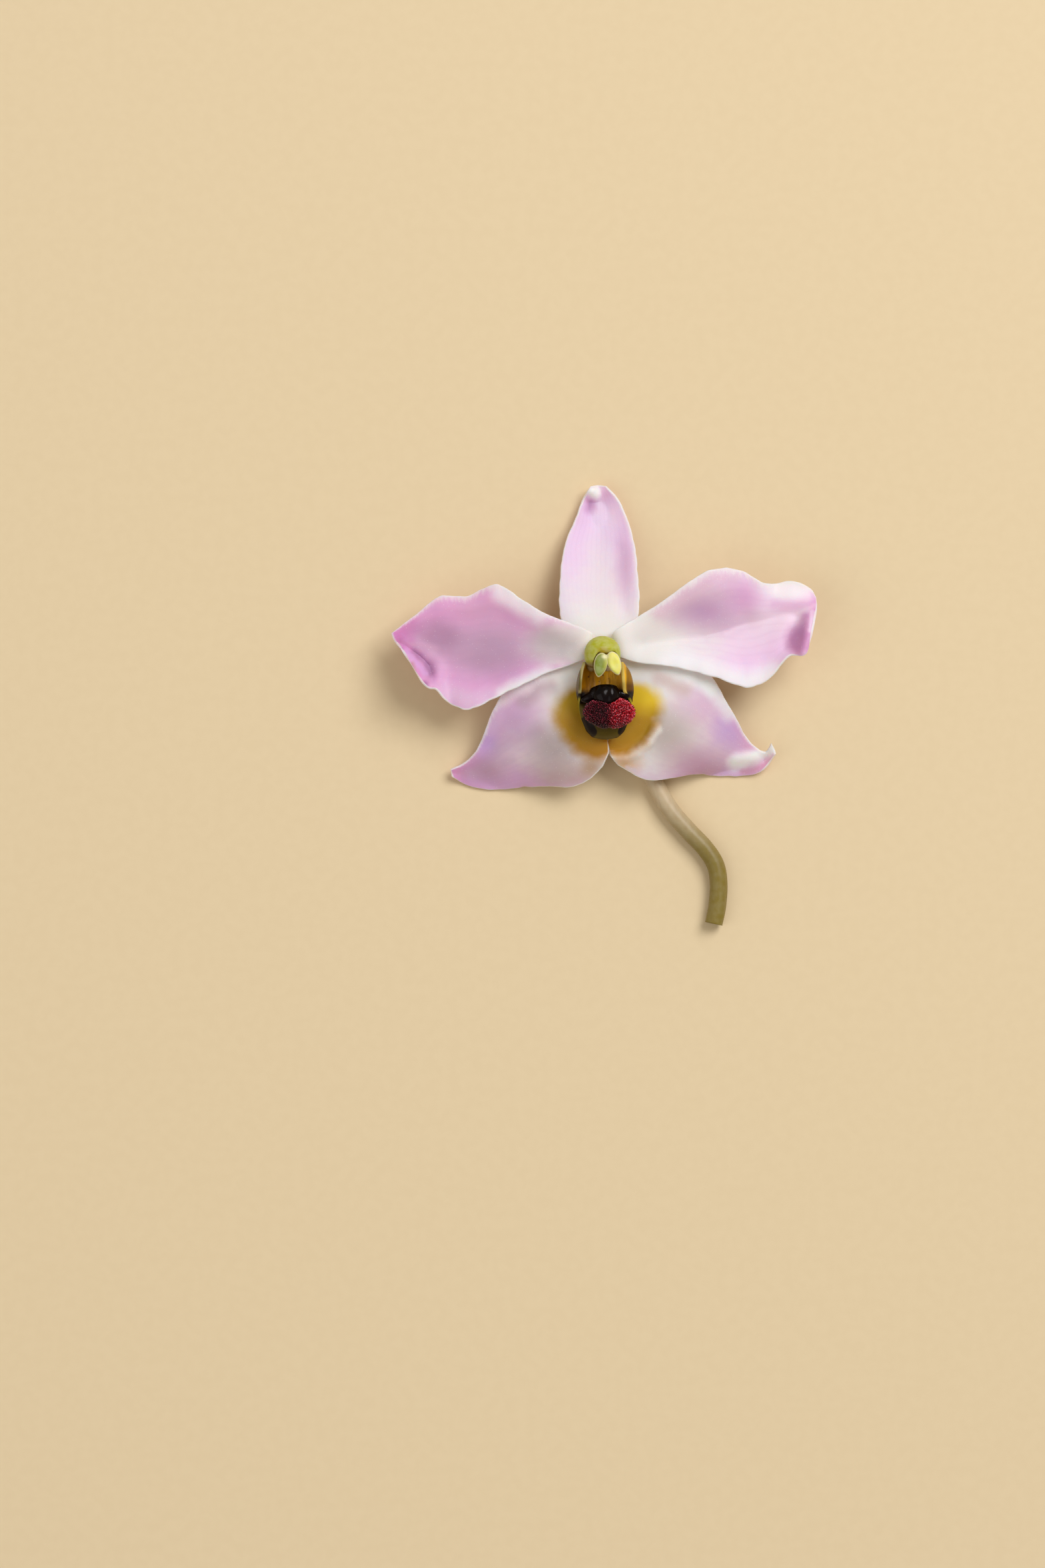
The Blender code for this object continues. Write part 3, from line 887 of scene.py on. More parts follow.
@dataclass(frozen=True)
class TepalFinish:
    """The finish of a sepal or petal: white at its base, blushed outwards, with patches of painted light and shade,
    and painted glints on a few cells.
    """

    name: str
    blush: str
    tip: str
    blush_from: float = 0.22
    blush_to: float = 0.60
    middle_blush: float = 0.8
    tip_from: float = 0.84
    feather: float = 0.08
    white: str = "F3EDED"
    tints: tuple[Tint, ...] = ()
    strokes: tuple[Stroke, ...] = ()
    blotch: Blotch | None = None
    vein: str = "B27FB4"
    # Painted glow: the margin's pale colour, standing in for light that shines through it.
    rim: str = "FAF4F6"
    sparkle: str = "FFFFFF"
    sheen: Sheen = Sheen(0.40, 0.28, 0.65, 1.0)
    wander: float = 0.7
    blotch_wander: float = 1.3
    cells_per_mm: float = 9.5
    # Painted glints: the share of cells that glint, and how strongly they are painted white, off and on the blotch.
    glitter: float = 0.03
    painted_glint_strength: float = 0.5
    blotch_painted_glint_strength: float = 0.08
    cell_roughness: Spot = (0.46, 0.16)
    vein_depth: float = 0.15

    def material(self, groups: TissueGroups) -> Material:
        """Builds the material.

        Args:
            groups: The shared node groups.

        Returns:
            The material.
        """
        material, graph, shader = self.sheen.start(self.name)
        place = graph.flower_place()
        chart = graph.chart()
        along, side, _ = graph.parts(chart)
        colour = self.blushed(graph, place, along, graph.math("ABSOLUTE", graph.signed(side)))
        feeds = {"Along": along, "Across": graph.math("SUBTRACT", side, 0.5), "Place": place}
        vein = graph.group(groups.veins, feeds).outputs["Vein"]
        colour = graph.mix(graph.times(vein, graph.ramp(along, 0.2, 0.7, 0.01, 0.05)), colour, tone(self.vein))
        colour, glitter = self.marked(graph, self.wandered(graph, place, self.wander), colour)
        painted_glint_strength = self.painted_glint_strength
        if self.blotch:
            mask = self.blotch.mask(graph, self.wandered(graph, place, self.blotch_wander))
            colour = graph.mix(graph.times(mask, self.blotch.strength), colour, self.blotch.yellow(graph, place))
            painted_glint_strength = graph.ramp(mask, 0.2, 0.8, self.painted_glint_strength, self.blotch_painted_glint_strength)
        colour = self.with_painted_rim_glow(graph, chart, colour)
        feeds = {"Place": place, "Per Millimetre": self.cells_per_mm, "Share": glitter}
        cells = graph.group(groups.cells, feeds)
        # Painted glints: a few cells, more in the lit bands, are mixed towards white.
        colour = graph.mix(graph.times(cells.outputs["Sparkle"], painted_glint_strength), colour, tone(self.sparkle))
        graph.feed(shader, "Base Color", colour)
        gloss = graph.ramp(cells.outputs["Sparkle"], 0.0, 1.0, *self.cell_roughness, Ease.EVEN)
        graph.feed(shader, "Roughness", gloss)
        height = graph.math("SUBTRACT", cells.outputs["Height"], graph.times(vein, self.vein_depth))
        graph.bump(shader, height, 0.22, 0.018)
        return material

    def blushed(self, graph: Graph, place: Socket, along: Socket, across: Socket) -> Socket:
        """The blade's ground colour.

        Args:
            graph: The material's graph.
            place: The place on the piece.
            along: How far along the blade, 0 to 1.
            across: How far from its midrib, 0 to 1.

        Returns:
            The socket with the colour.
        """
        patch = graph.ramp(graph.noise(place, 0.25), 0.3, 0.7, -0.035, 0.035)
        streak = graph.ramp(graph.noise(graph.scaled(place, (0.8, 1.6, 1.0)), 1.0, 3.0), 0.3, 0.7, -0.02, 0.02)
        here = graph.fold("ADD", [along, patch, streak])
        edge = graph.times(graph.math("POWER", across, 2.0), 0.10)
        outward = graph.ramp(graph.math("ADD", here, edge), self.blush_from, self.blush_to)
        share = graph.times(outward, graph.ramp(across, 0.0, 0.7, self.middle_blush, 1.0))
        colour = graph.mix(share, tone(self.white), tone(self.blush))
        return graph.mix(graph.ramp(here, self.tip_from, 1.0, 0.0, 0.85), colour, tone(self.tip))

    def marked(self, graph: Graph, spot: Socket, colour: Socket) -> tuple[Socket, object]:
        """The colour with the blade's patches and bands: its own colour in some, painted light and shade in others.

        Args:
            graph: The material's graph.
            spot: The place on the piece, seen from above.
            colour: The colour under them.

        Returns:
            The socket with the colour, and the share of cells that are painted as glints.
        """
        glitter = self.glitter
        for tint in self.tints:
            mask = graph.patch(spot, tint.middle, tint.radii, tint.core)
            colour = graph.mix(graph.times(mask, tint.strength), colour, tone(tint.colour))
        for stroke in self.strokes:
            mask = graph.band(spot, stroke.path, stroke.width, stroke.core)
            colour = graph.mix(graph.times(mask, stroke.strength), colour, tone(stroke.colour))
            if stroke.glitter:
                glitter = graph.math("MAXIMUM", glitter, graph.times(mask, stroke.glitter))
        return colour, glitter

    def wandered(self, graph: Graph, place: Socket, reach: float) -> Socket:
        """The place seen from above, moved a little to and fro, so that a patch has an uneven edge.

        Args:
            graph: The material's graph.
            place: The place on the piece.
            reach: How far it moves.

        Returns:
            The socket with the place, its z at nought.
        """
        wobble = graph.node("ShaderNodeTexNoise", {"Vector": place, "Scale": 0.5, "Detail": 3.0}).outputs["Color"]
        wobble = graph.scaled(graph.vector("SUBTRACT", wobble, (0.5, 0.5, 0.5)), (reach, reach, 0.0))
        return graph.scaled(graph.vector("ADD", place, wobble), (1.0, 1.0, 0.0))

    def with_painted_rim_glow(self, graph: Graph, chart: Socket, colour: Socket) -> Socket:
        """The colour with the pale margin, feathered on the upper side: a painted glow that stands in for light
        shining through it.

        Args:
            graph: The material's graph.
            chart: The place on the blade's chart, along it and across it.
            colour: The colour inside the margin.

        Returns:
            The socket with the colour.
        """
        along, side, _ = graph.parts(chart)
        signed = graph.signed(side)
        fine = graph.noise(graph.scaled(chart, (95.0, 9.0, 1.0)), 1.0, 3.0, 0.6)
        reach = graph.times(graph.math("SUBTRACT", fine, 0.35), self.feather * 2.4)
        upper = graph.ramp(graph.math("ADD", signed, reach), 0.86, 1.04)
        side_rim = graph.ramp(graph.math("ABSOLUTE", signed), 0.965, 0.99)
        end = graph.ramp(along, 0.988, 1.0)
        rim = graph.fold("MAXIMUM", [side_rim, end, graph.times(upper, 0.8)])
        return graph.mix(graph.times(rim, 0.75), colour, tone(self.rim))


@dataclass(frozen=True)
class LipFinish:
    """The lip's flesh: a golden throat with brown dots, dark lobe ends, and an olive front, with painted shade and
    light across the throat and on its left side.
    """

    name: str = "lip_flesh"
    sheen: Sheen = Sheen(0.34, 0.20, 0.10, 0.5)
    # Painted shade and light: the throat's gold, darker on the left and lighter on the right.
    throat_shaded_to_lit: tuple[str, str] = ("C08000", "FFC208")
    streak: str = "70420A"
    dot: str = "4A1F06"
    lobe_end: str = "140A08"
    edge_colours: tuple[str, str] = ("A2945E", "D8BC5C")
    front_rim: str = "A79B28"
    left_shade: str = "5C5226"
    right_cheek: str = "704604"
    cloud: str = "201204"
    olive: tuple[str, str] = ("3A2C06", "5C4C08")
    olive_side: str = "5C4E10"
    maroon: str = "100202"
    left_maroon: tuple[Path, float] = (((-1.75, -6.45), (-1.15, -7.45)), 0.60)
    right_maroon: tuple[Path, float] = (((2.15, -6.75), (1.85, -7.45)), 0.48)
    maroon_core: float = 0.75
    middle_x: float = 0.25

    def material(self, groups: TissueGroups) -> Material:
        """Builds the material.

        Args:
            groups: The shared node groups.

        Returns:
            The material.
        """
        material, graph, shader = self.sheen.start(self.name)
        place = graph.flower_place()
        x, y, _ = graph.parts(place)
        _, side, _ = graph.parts(graph.chart())
        across = graph.math("ABSOLUTE", graph.signed(side))
        colour = graph.mix(graph.ramp(y, -4.3, -4.9), self.throat(graph, place, x), self.front(graph, place, x, y))
        wax = graph.group(groups.wax, {"Place": place, "Per Millimetre": 1.3})
        edge = graph.times(graph.ramp(across, 0.93, 0.97), graph.ramp(y, -3.75, -3.55))
        rim = graph.times(graph.ramp(across, 0.955, 0.985), graph.ramp(y, -3.9, -4.4))
        shade = graph.times(graph.ramp(x, -2.2, -2.35), graph.ramp(y, -3.6, -3.2))
        cheek = graph.times(graph.ramp(x, 2.1, 2.35), graph.ramp(y, -3.6, -3.2))
        layers = (
            (self.dark_ends(graph, x, y, across), tone(self.lobe_end)),
            (edge, graph.mix(graph.ramp(x, -0.5, 0.5), *map(tone, self.edge_colours))),
            (rim, tone(self.front_rim)),
            (graph.times(shade, 0.85), tone(self.left_shade)),
            (graph.times(cheek, 0.8), tone(self.right_cheek)),
            (graph.times(wax.outputs["Cloud"], 0.18), tone(self.cloud)),
        )
        for mask, over in layers:
            colour = graph.mix(mask, colour, over)
        graph.feed(shader, "Base Color", colour)
        graph.bump(shader, wax.outputs["Height"], 0.3, 0.02)
        return material

    def dark_ends(self, graph: Graph, x: Socket, y: Socket, across: Socket) -> Socket:
        """Where the side lobes' ends are dark.

        Args:
            graph: The material's graph.
            x: The place's x.
            y: The place's y.
            across: How far from the lip's middle line on its chart, 0 to 1.

        Returns:
            The socket with the mask.
        """
        below = graph.ramp(y, -5.2, -4.5)
        dark = graph.times(graph.times(graph.ramp(y, -2.9, -3.7), below), graph.ramp(across, 0.30, 0.42, 0.55, 1.0))
        outer = graph.times(graph.ramp(x, 2.15, 2.35), graph.ramp(y, -2.3, -3.0))
        return graph.math("MAXIMUM", dark, graph.times(outer, below))

    def throat(self, graph: Graph, place: Socket, x: Socket) -> Socket:
        """The golden-brown throat with its streaks and dots, darker on the left and lighter on the right as painted
        shade and light.

        Args:
            graph: The material's graph.
            place: The place on the piece.
            x: The place's x.

        Returns:
            The socket with the colour.
        """
        streak = graph.noise(graph.scaled(place, (3.2, 0.5, 1.0)), 1.0, 3.0, 0.6)
        ground = graph.mix(graph.ramp(x, -1.8, 2.4, 0.0, 1.0, Ease.EVEN), *map(tone, self.throat_shaded_to_lit))
        wall = graph.ramp(graph.math("ABSOLUTE", graph.math("SUBTRACT", x, 0.1)), 1.5, 1.9, 1.0, 0.0)
        dark = graph.times(graph.ramp(streak, 0.42, 0.75), graph.ramp(wall, 0.0, 1.0, 0.25, 0.8))
        ground = graph.mix(dark, ground, tone(self.streak))
        dots = graph.node("ShaderNodeTexVoronoi", {"Vector": place, "Scale": 1.9})
        ring = graph.ramp(dots.outputs["Distance"], 0.08, 0.22, 0.8, 0.0)
        return graph.mix(graph.times(ring, wall), ground, tone(self.dot))

    def front(self, graph: Graph, place: Socket, x: Socket, y: Socket) -> Socket:
        """The front of the lip: olive green, with a maroon patch at each side.

        Args:
            graph: The material's graph.
            place: The place on the piece.
            x: The place's x.
            y: The place's y.

        Returns:
            The socket with the colour.
        """
        middle = graph.math("ABSOLUTE", graph.math("SUBTRACT", x, self.middle_x))
        flat = graph.scaled(place, (1.0, 1.0, 0.0))
        olive = graph.mix(graph.ramp(y, -6.4, -7.6), *map(tone, self.olive))
        olive = graph.mix(graph.ramp(middle, 1.9, 2.5), olive, tone(self.olive_side))
        sides = [graph.band(flat, *patch, self.maroon_core) for patch in (self.left_maroon, self.right_maroon)]
        return graph.mix(graph.fold("MAXIMUM", sides), olive, tone(self.maroon))


@dataclass(frozen=True)
class FleshFinish:
    """A finish for smooth waxy flesh: two colours along one direction, and a third where it is hollow or cut."""

    name: str
    near: str
    far: str
    axis: int
    start: float
    end: float
    sheen: Sheen = Sheen()
    patch: tuple[Point, Point, str] | None = None
    patch_core: float = 0.45
    rim: str | None = None
    streaks: float = 0.0
    streak: str = "7A5A48"
    cloud: str = "FFFFF0"
    cloud_share: float = 0.14
    clouds_per_mm: float = 1.6

    def material(self, groups: TissueGroups) -> Material:
        """Builds the material.

        Args:
            groups: The shared node groups.

        Returns:
            The material.
        """
        material, graph, shader = self.sheen.start(self.name)
        place = graph.flower_place()
        here = graph.parts(place)[self.axis]
        colour = graph.mix(graph.ramp(here, self.start, self.end), tone(self.near), tone(self.far))
        if self.streaks:
            line = graph.noise(graph.scaled(place, (2.4, 0.4, 2.4)), 1.0)
            dark = graph.mix(0.5, colour, tone(self.streak))
            colour = graph.mix(graph.times(graph.ramp(line, 0.4, 0.7), self.streaks), colour, dark)
        if self.patch:
            middle, radii, code = self.patch
            colour = graph.mix(graph.blob(place, middle, radii, self.patch_core), colour, tone(code))
        if self.rim:
            colour = graph.mix(graph.stored("rim"), colour, tone(self.rim))
        wax = graph.group(groups.wax, {"Place": place, "Per Millimetre": self.clouds_per_mm})
        colour = graph.mix(graph.times(wax.outputs["Cloud"], self.cloud_share), colour, tone(self.cloud))
        graph.feed(shader, "Base Color", colour)
        graph.bump(shader, wax.outputs["Height"], 0.25, 0.02)
        return material


@dataclass(frozen=True)
class PapillaeFinish:
    """The papillae: crimson beads, each a little lighter or darker than the next, with painted light from the right:
    the right cushion painted brighter, the left darker, painted highlights on the lightest beads and painted shade
    between them.
    """

    name: str = "papillae"
    sheen: Sheen = Sheen(0.16, 0.4, 0.1, 0.2, 0.2)
    # Painted shade and light: the crimson darker on the left cushion and brighter on the right.
    flesh: tuple[str, str] = ("5C0618", "E8142E")
    # Painted highlights on the lightest beads, paler on the right.
    light: tuple[str, str] = ("C03C54", "FF8EA0")
    # The cushion's dark crimson between the beads, darkened further as painted shade.
    between: str = "1C0308"
    cloud: str = "2A040C"
    foot: str = "1A0306"
    cushion_roughness: float = 0.8

    def material(self, groups: TissueGroups) -> Material:
        """Builds the material.

        Args:
            groups: The shared node groups.

        Returns:
            The material.
        """
        material, graph, shader = self.sheen.start(self.name)
        place = graph.flower_place()
        x, y, _ = graph.parts(place)
        # Painted light from the right: 0 over the shaded left cushion, 1 over the lit right one.
        right = graph.ramp(x, 0.2, 1.1)
        tint = graph.stored("tint")
        flesh = graph.mix(right, *map(tone, self.flesh))
        colour = graph.mix(graph.ramp(tint, 0.0, 0.6, ease=Ease.EVEN), tone(self.between), flesh)
        light = graph.mix(right, *map(tone, self.light))
        colour = graph.mix(graph.ramp(tint, 0.6, 1.0, ease=Ease.EVEN), colour, light)
        # Painted shade: dark clouds, heavier on the left cushion.
        cloud = graph.group(groups.wax, {"Place": place, "Per Millimetre": 0.9}).outputs["Cloud"]
        shade = graph.ramp(right, 0.0, 1.0, 0.6, 0.1, Ease.EVEN)
        colour = graph.mix(graph.times(cloud, shade), colour, tone(self.cloud))
        colour = graph.mix(graph.ramp(y, -5.9, -6.9, 0.0, 0.55), colour, tone(self.foot))
        graph.feed(shader, "Base Color", colour)
        bead = (tint, BETWEEN_TINTS, LEAST_BEAD_TINT)
        graph.feed(shader, "Roughness", graph.ramp(*bead, self.cushion_roughness, self.sheen.roughness))
        graph.feed(shader, "Coat Weight", graph.ramp(*bead, 0.0, self.sheen.coat))
        return material


@dataclass(frozen=True)
class FloorFinish:
    """The plain pale surface that the flower lies on."""

    name: str = "pale_surface"
    sheen: Sheen = Sheen(0.75, 0.2)
    colour: str = "ECD8B2"
    grain: str = "C9AE80"
    grains_per_metre: float = 900.0

    def material(self) -> Material:
        """Builds the material.

        Returns:
            The material.
        """
        material, graph, shader = self.sheen.start(self.name)
        here = graph.node("ShaderNodeTexCoord").outputs["Object"]
        grain = graph.ramp(graph.noise(here, self.grains_per_metre, 3.0), 0.3, 0.7, 0.0, 0.05)
        graph.feed(shader, "Base Color", graph.mix(grain, tone(self.colour), tone(self.grain)))
        return material


@dataclass(frozen=True)
class Wave:
    """The waves of a blade's margins: how high they are, how many, and where the first one starts."""

    height: float
    count: float
    phase: float
    ripple: float = 0.35
    ripple_rate: float = 3.3


@dataclass(frozen=True)
class Relief:
    """A soft ridge, or a groove where its height is below nought, along a line on a blade."""

    path: Path
    height: float
    width: float


@dataclass(frozen=True)
class Nick:
    """A small notch in a blade's margin."""

    spot: Spot
    depth: float
    width: float


@dataclass
class Tepal:
    """A sepal or petal: a sheet over three guide curves, thick along its midrib and thin at its margins."""

    name: str
    stations: Stations
    finish: TepalFinish
    slot: Slot
    waves: Wave
    reliefs: tuple[Relief, ...] = ()
    nicks: tuple[Nick, ...] = ()
    steps: tuple[int, int] = (110, 60)
    thickness: float = 0.62
    margin_share: float = 0.38
    thinning: float = 2.2
    tip_thinning: float = 9.0
    floor: float = 0.24
    floor_soft: float = 0.16
    uneven: float = 0.010

    def build(self) -> Piece:
        """Models the blade.

        Returns:
            The blade, not yet dressed.
        """
        blade, u, v = plain_sheet(self.steps)
        place_points(blade, self.laid(u, v))
        across = np.clip(1.0 - np.abs(v) ** self.thinning, 0.0, 1.0)
        thicken(blade, across * np.clip((1.0 - u) * self.tip_thinning, 0.0, 1.0), self.thickness, self.margin_share)
        return blade

    def laid(self, u: np.ndarray, v: np.ndarray) -> np.ndarray:
        """The sheet's points, with its waves, ridges, grooves and notches.

        Args:
            u: Where along the blade, 0 to 1.
            v: Where across it, -1 to 1.

        Returns:
            The points.
        """
        guides = np.array(self.stations)
        points = over_guides(guides, u, v)
        points[:, 2] += self.waved(u, v)
        for relief in self.reliefs:
            far = distance_to_line(points[:, :2], relief.path)
            points[:, 2] += relief.height * np.exp(-((far / relief.width) ** 2))
        rib = over_guides(guides, u, np.zeros_like(v))
        for nick in self.nicks:
            far = np.linalg.norm(points[:, :2] - nick.spot, axis=1)
            pull = nick.depth * np.exp(-((far / nick.width) ** 2)) * np.abs(v) ** 6
            inward = rib - points
            inward[:, 2] = 0.0
            reach = np.maximum(np.linalg.norm(inward, axis=1), NEARLY_NOTHING)
            points += inward * (pull / reach)[:, None]
        points += (points - rib) * (self.fray(u, v) * v**8)[:, None]
        over = points[:, 2] - self.floor
        points[:, 2] = self.floor + (over + np.sqrt(over**2 + self.floor_soft**2)) / 2
        return points

    def waved(self, u: np.ndarray, v: np.ndarray) -> np.ndarray:
        """How far the waves lift each point, most at the margins and half a wave apart on the two sides.

        Args:
            u: Where along the blade, 0 to 1.
            v: Where across it, -1 to 1.

        Returns:
            One height for each point.
        """
        waves = self.waves
        side = np.where(v > 0, 0.5, 0.0)
        ripple = waves.ripple * np.sin(2 * np.pi * (waves.ripple_rate * waves.count * u + side))
        wave = np.sin(2 * np.pi * (waves.count * u + waves.phase + side)) + ripple
        return waves.height * v**4 * np.sin(np.pi * u) * wave

    def fray(self, u: np.ndarray, v: np.ndarray) -> np.ndarray:
        """Small unevenness of the margins, as a share of the blade's half width.

        Args:
            u: Where along the blade, 0 to 1.
            v: Where across it, whose sign tells the two margins apart.

        Returns:
            One share for each point.
        """
        shift = np.where(v > 0, 1.7, 0.2) + self.waves.phase * 9
        small = np.sin(61 * u + shift) * np.sin(23 * u + 2 * shift)
        return self.uneven * (small + 0.6 * np.sin(137 * u + 3 * shift) * np.sin(41 * u + shift))

    def dress(self, blade: Piece, groups: TissueGroups) -> None:
        """Gives the blade its finish and hands it over."""
        hand_over(blade, self.finish.material(groups), f"{self.name}_blade", self.slot, self.name)


@dataclass
class Lip:
    """The lip: a boat whose side lobes lean in, with three keels along its floor."""

    finish: LipFinish = LipFinish()
    middle_x: float = 0.2
    steps: tuple[int, int] = (90, 96)
    thickness: float = 0.44
    margin_share: float = 0.55
    keel: float = 0.10
    keel_width: float = 0.05
    keels_apart: float = 0.2
    keel_end: float = 0.45
    frill: float = 0.05
    frill_rate: float = 34.0

    def build(self) -> Piece:
        """Models the lip.

        Returns:
            The lip, not yet dressed.
        """
        sheet, u, v = plain_sheet(self.steps)
        points = over_guides(self.guides(), u, v)
        outer = np.exp(-(((np.abs(v) - self.keels_apart) / self.keel_width) ** 2))
        keels = np.exp(-((v / self.keel_width) ** 2)) + outer
        points[:, 2] += self.keel * keels * np.clip(u * 8, 0, 1) * np.clip((self.keel_end - u) * 8, 0, 1)
        points[:, 2] += self.frill * np.sin(u * self.frill_rate) * np.clip(np.abs(v) - 0.75, 0, 1) * 4
        place_points(sheet, points)
        thicken(sheet, np.clip(1.2 - v**4, 0.0, 1.0), self.thickness, self.margin_share)
        return sheet

    def guides(self) -> np.ndarray:
        """The lip's guide curves.

        Returns:
            For each station an edge, a wall, the floor, the other wall and the other edge.
        """
        rows = []
        for ((floor_y, floor_z), wall, edge), (left, right) in zip(LIP_HALF, LIP_LEAN):
            left_edge = (left - edge[0], edge[1], edge[2])
            right_edge = (right + edge[0], edge[1], edge[2])
            rows.append([left_edge, (-wall[0], wall[1], wall[2]), (0.0, floor_y, floor_z), wall, right_edge])
        guides = np.array(rows)
        guides[:, :, 0] += self.middle_x
        return guides

    def dress(self, sheet: Piece, groups: TissueGroups) -> None:
        """Gives the lip its finish and hands it over."""
        hand_over(sheet, self.finish.material(groups), "lip_boat", Slot.LIP, "lip")


@dataclass(frozen=True)
class Callus:
    """The dark callus across the lip: a helmet with a flat brow, and a wing to each wall of the lip."""

    middle: Point = (0.25, -3.80, 7.95)
    radii: Point = (1.35, 1.20, 0.85)
    tilt: float = math.radians(-14)
    brow: float = 0.74
    underside: float = -0.55
    dent: float = 0.16
    shoulder: float = 0.07
    wings: tuple[tuple[Point, Point, float], ...] = (
        ((-1.28, -3.98, 7.66), (1.02, 0.50, 0.56), 26.0),
        ((-0.85, -3.55, 7.80), (0.60, 0.55, 0.55), 40.0),
        ((1.70, -3.72, 7.66), (0.98, 0.48, 0.54), -12.0),
    )
    cell: float = 0.045
    finish: FleshFinish = FleshFinish(
        "callus", "060404", "12070A", 1, -3.2, -4.8, Sheen(0.17, 0.11, 0.0, 0.5, 0.08), cloud="1C1009", cloud_share=0.5
    )

    def build(self) -> Piece:
        """Models the callus.

        Returns:
            The callus, not yet dressed.
        """
        helmet = fine_ball()
        x, y, z = points_of(helmet).T
        brow = np.minimum(y * np.where(y > 0, 1.10, 1.0), self.brow + 0.03 * np.cos(2.6 * x))
        dent = self.dent * np.exp(-(((x - 0.1) / 0.22) ** 2)) * np.clip(0.5 - y, 0, 1)
        shoulder = self.shoulder * np.exp(-(((np.abs(x) - 0.45) / 0.2) ** 2)) * np.clip(y + 0.4, 0, 1)
        high = np.maximum(z, self.underside) - dent + shoulder
        shaped = np.stack((x * (1 + 0.05 * y), brow, high), axis=1) * np.array(self.radii)
        c, s = math.cos(self.tilt), math.sin(self.tilt)
        turn = np.array(((1, 0, 0), (0, c, -s), (0, s, c)))
        place_points(helmet, shaped @ turn.T + np.array(self.middle))
        for middle, radii, degrees in self.wings:
            merge_with(helmet, egg(middle, radii, math.radians(degrees)))
        even_skin(helmet, self.cell, 5)
        return helmet

    def dress(self, helmet: Piece, groups: TissueGroups) -> None:
        """Gives the callus its finish and hands it over."""
        hand_over(helmet, self.finish.material(groups), "callus_helmet", Slot.CALLUS, "lip_callus")


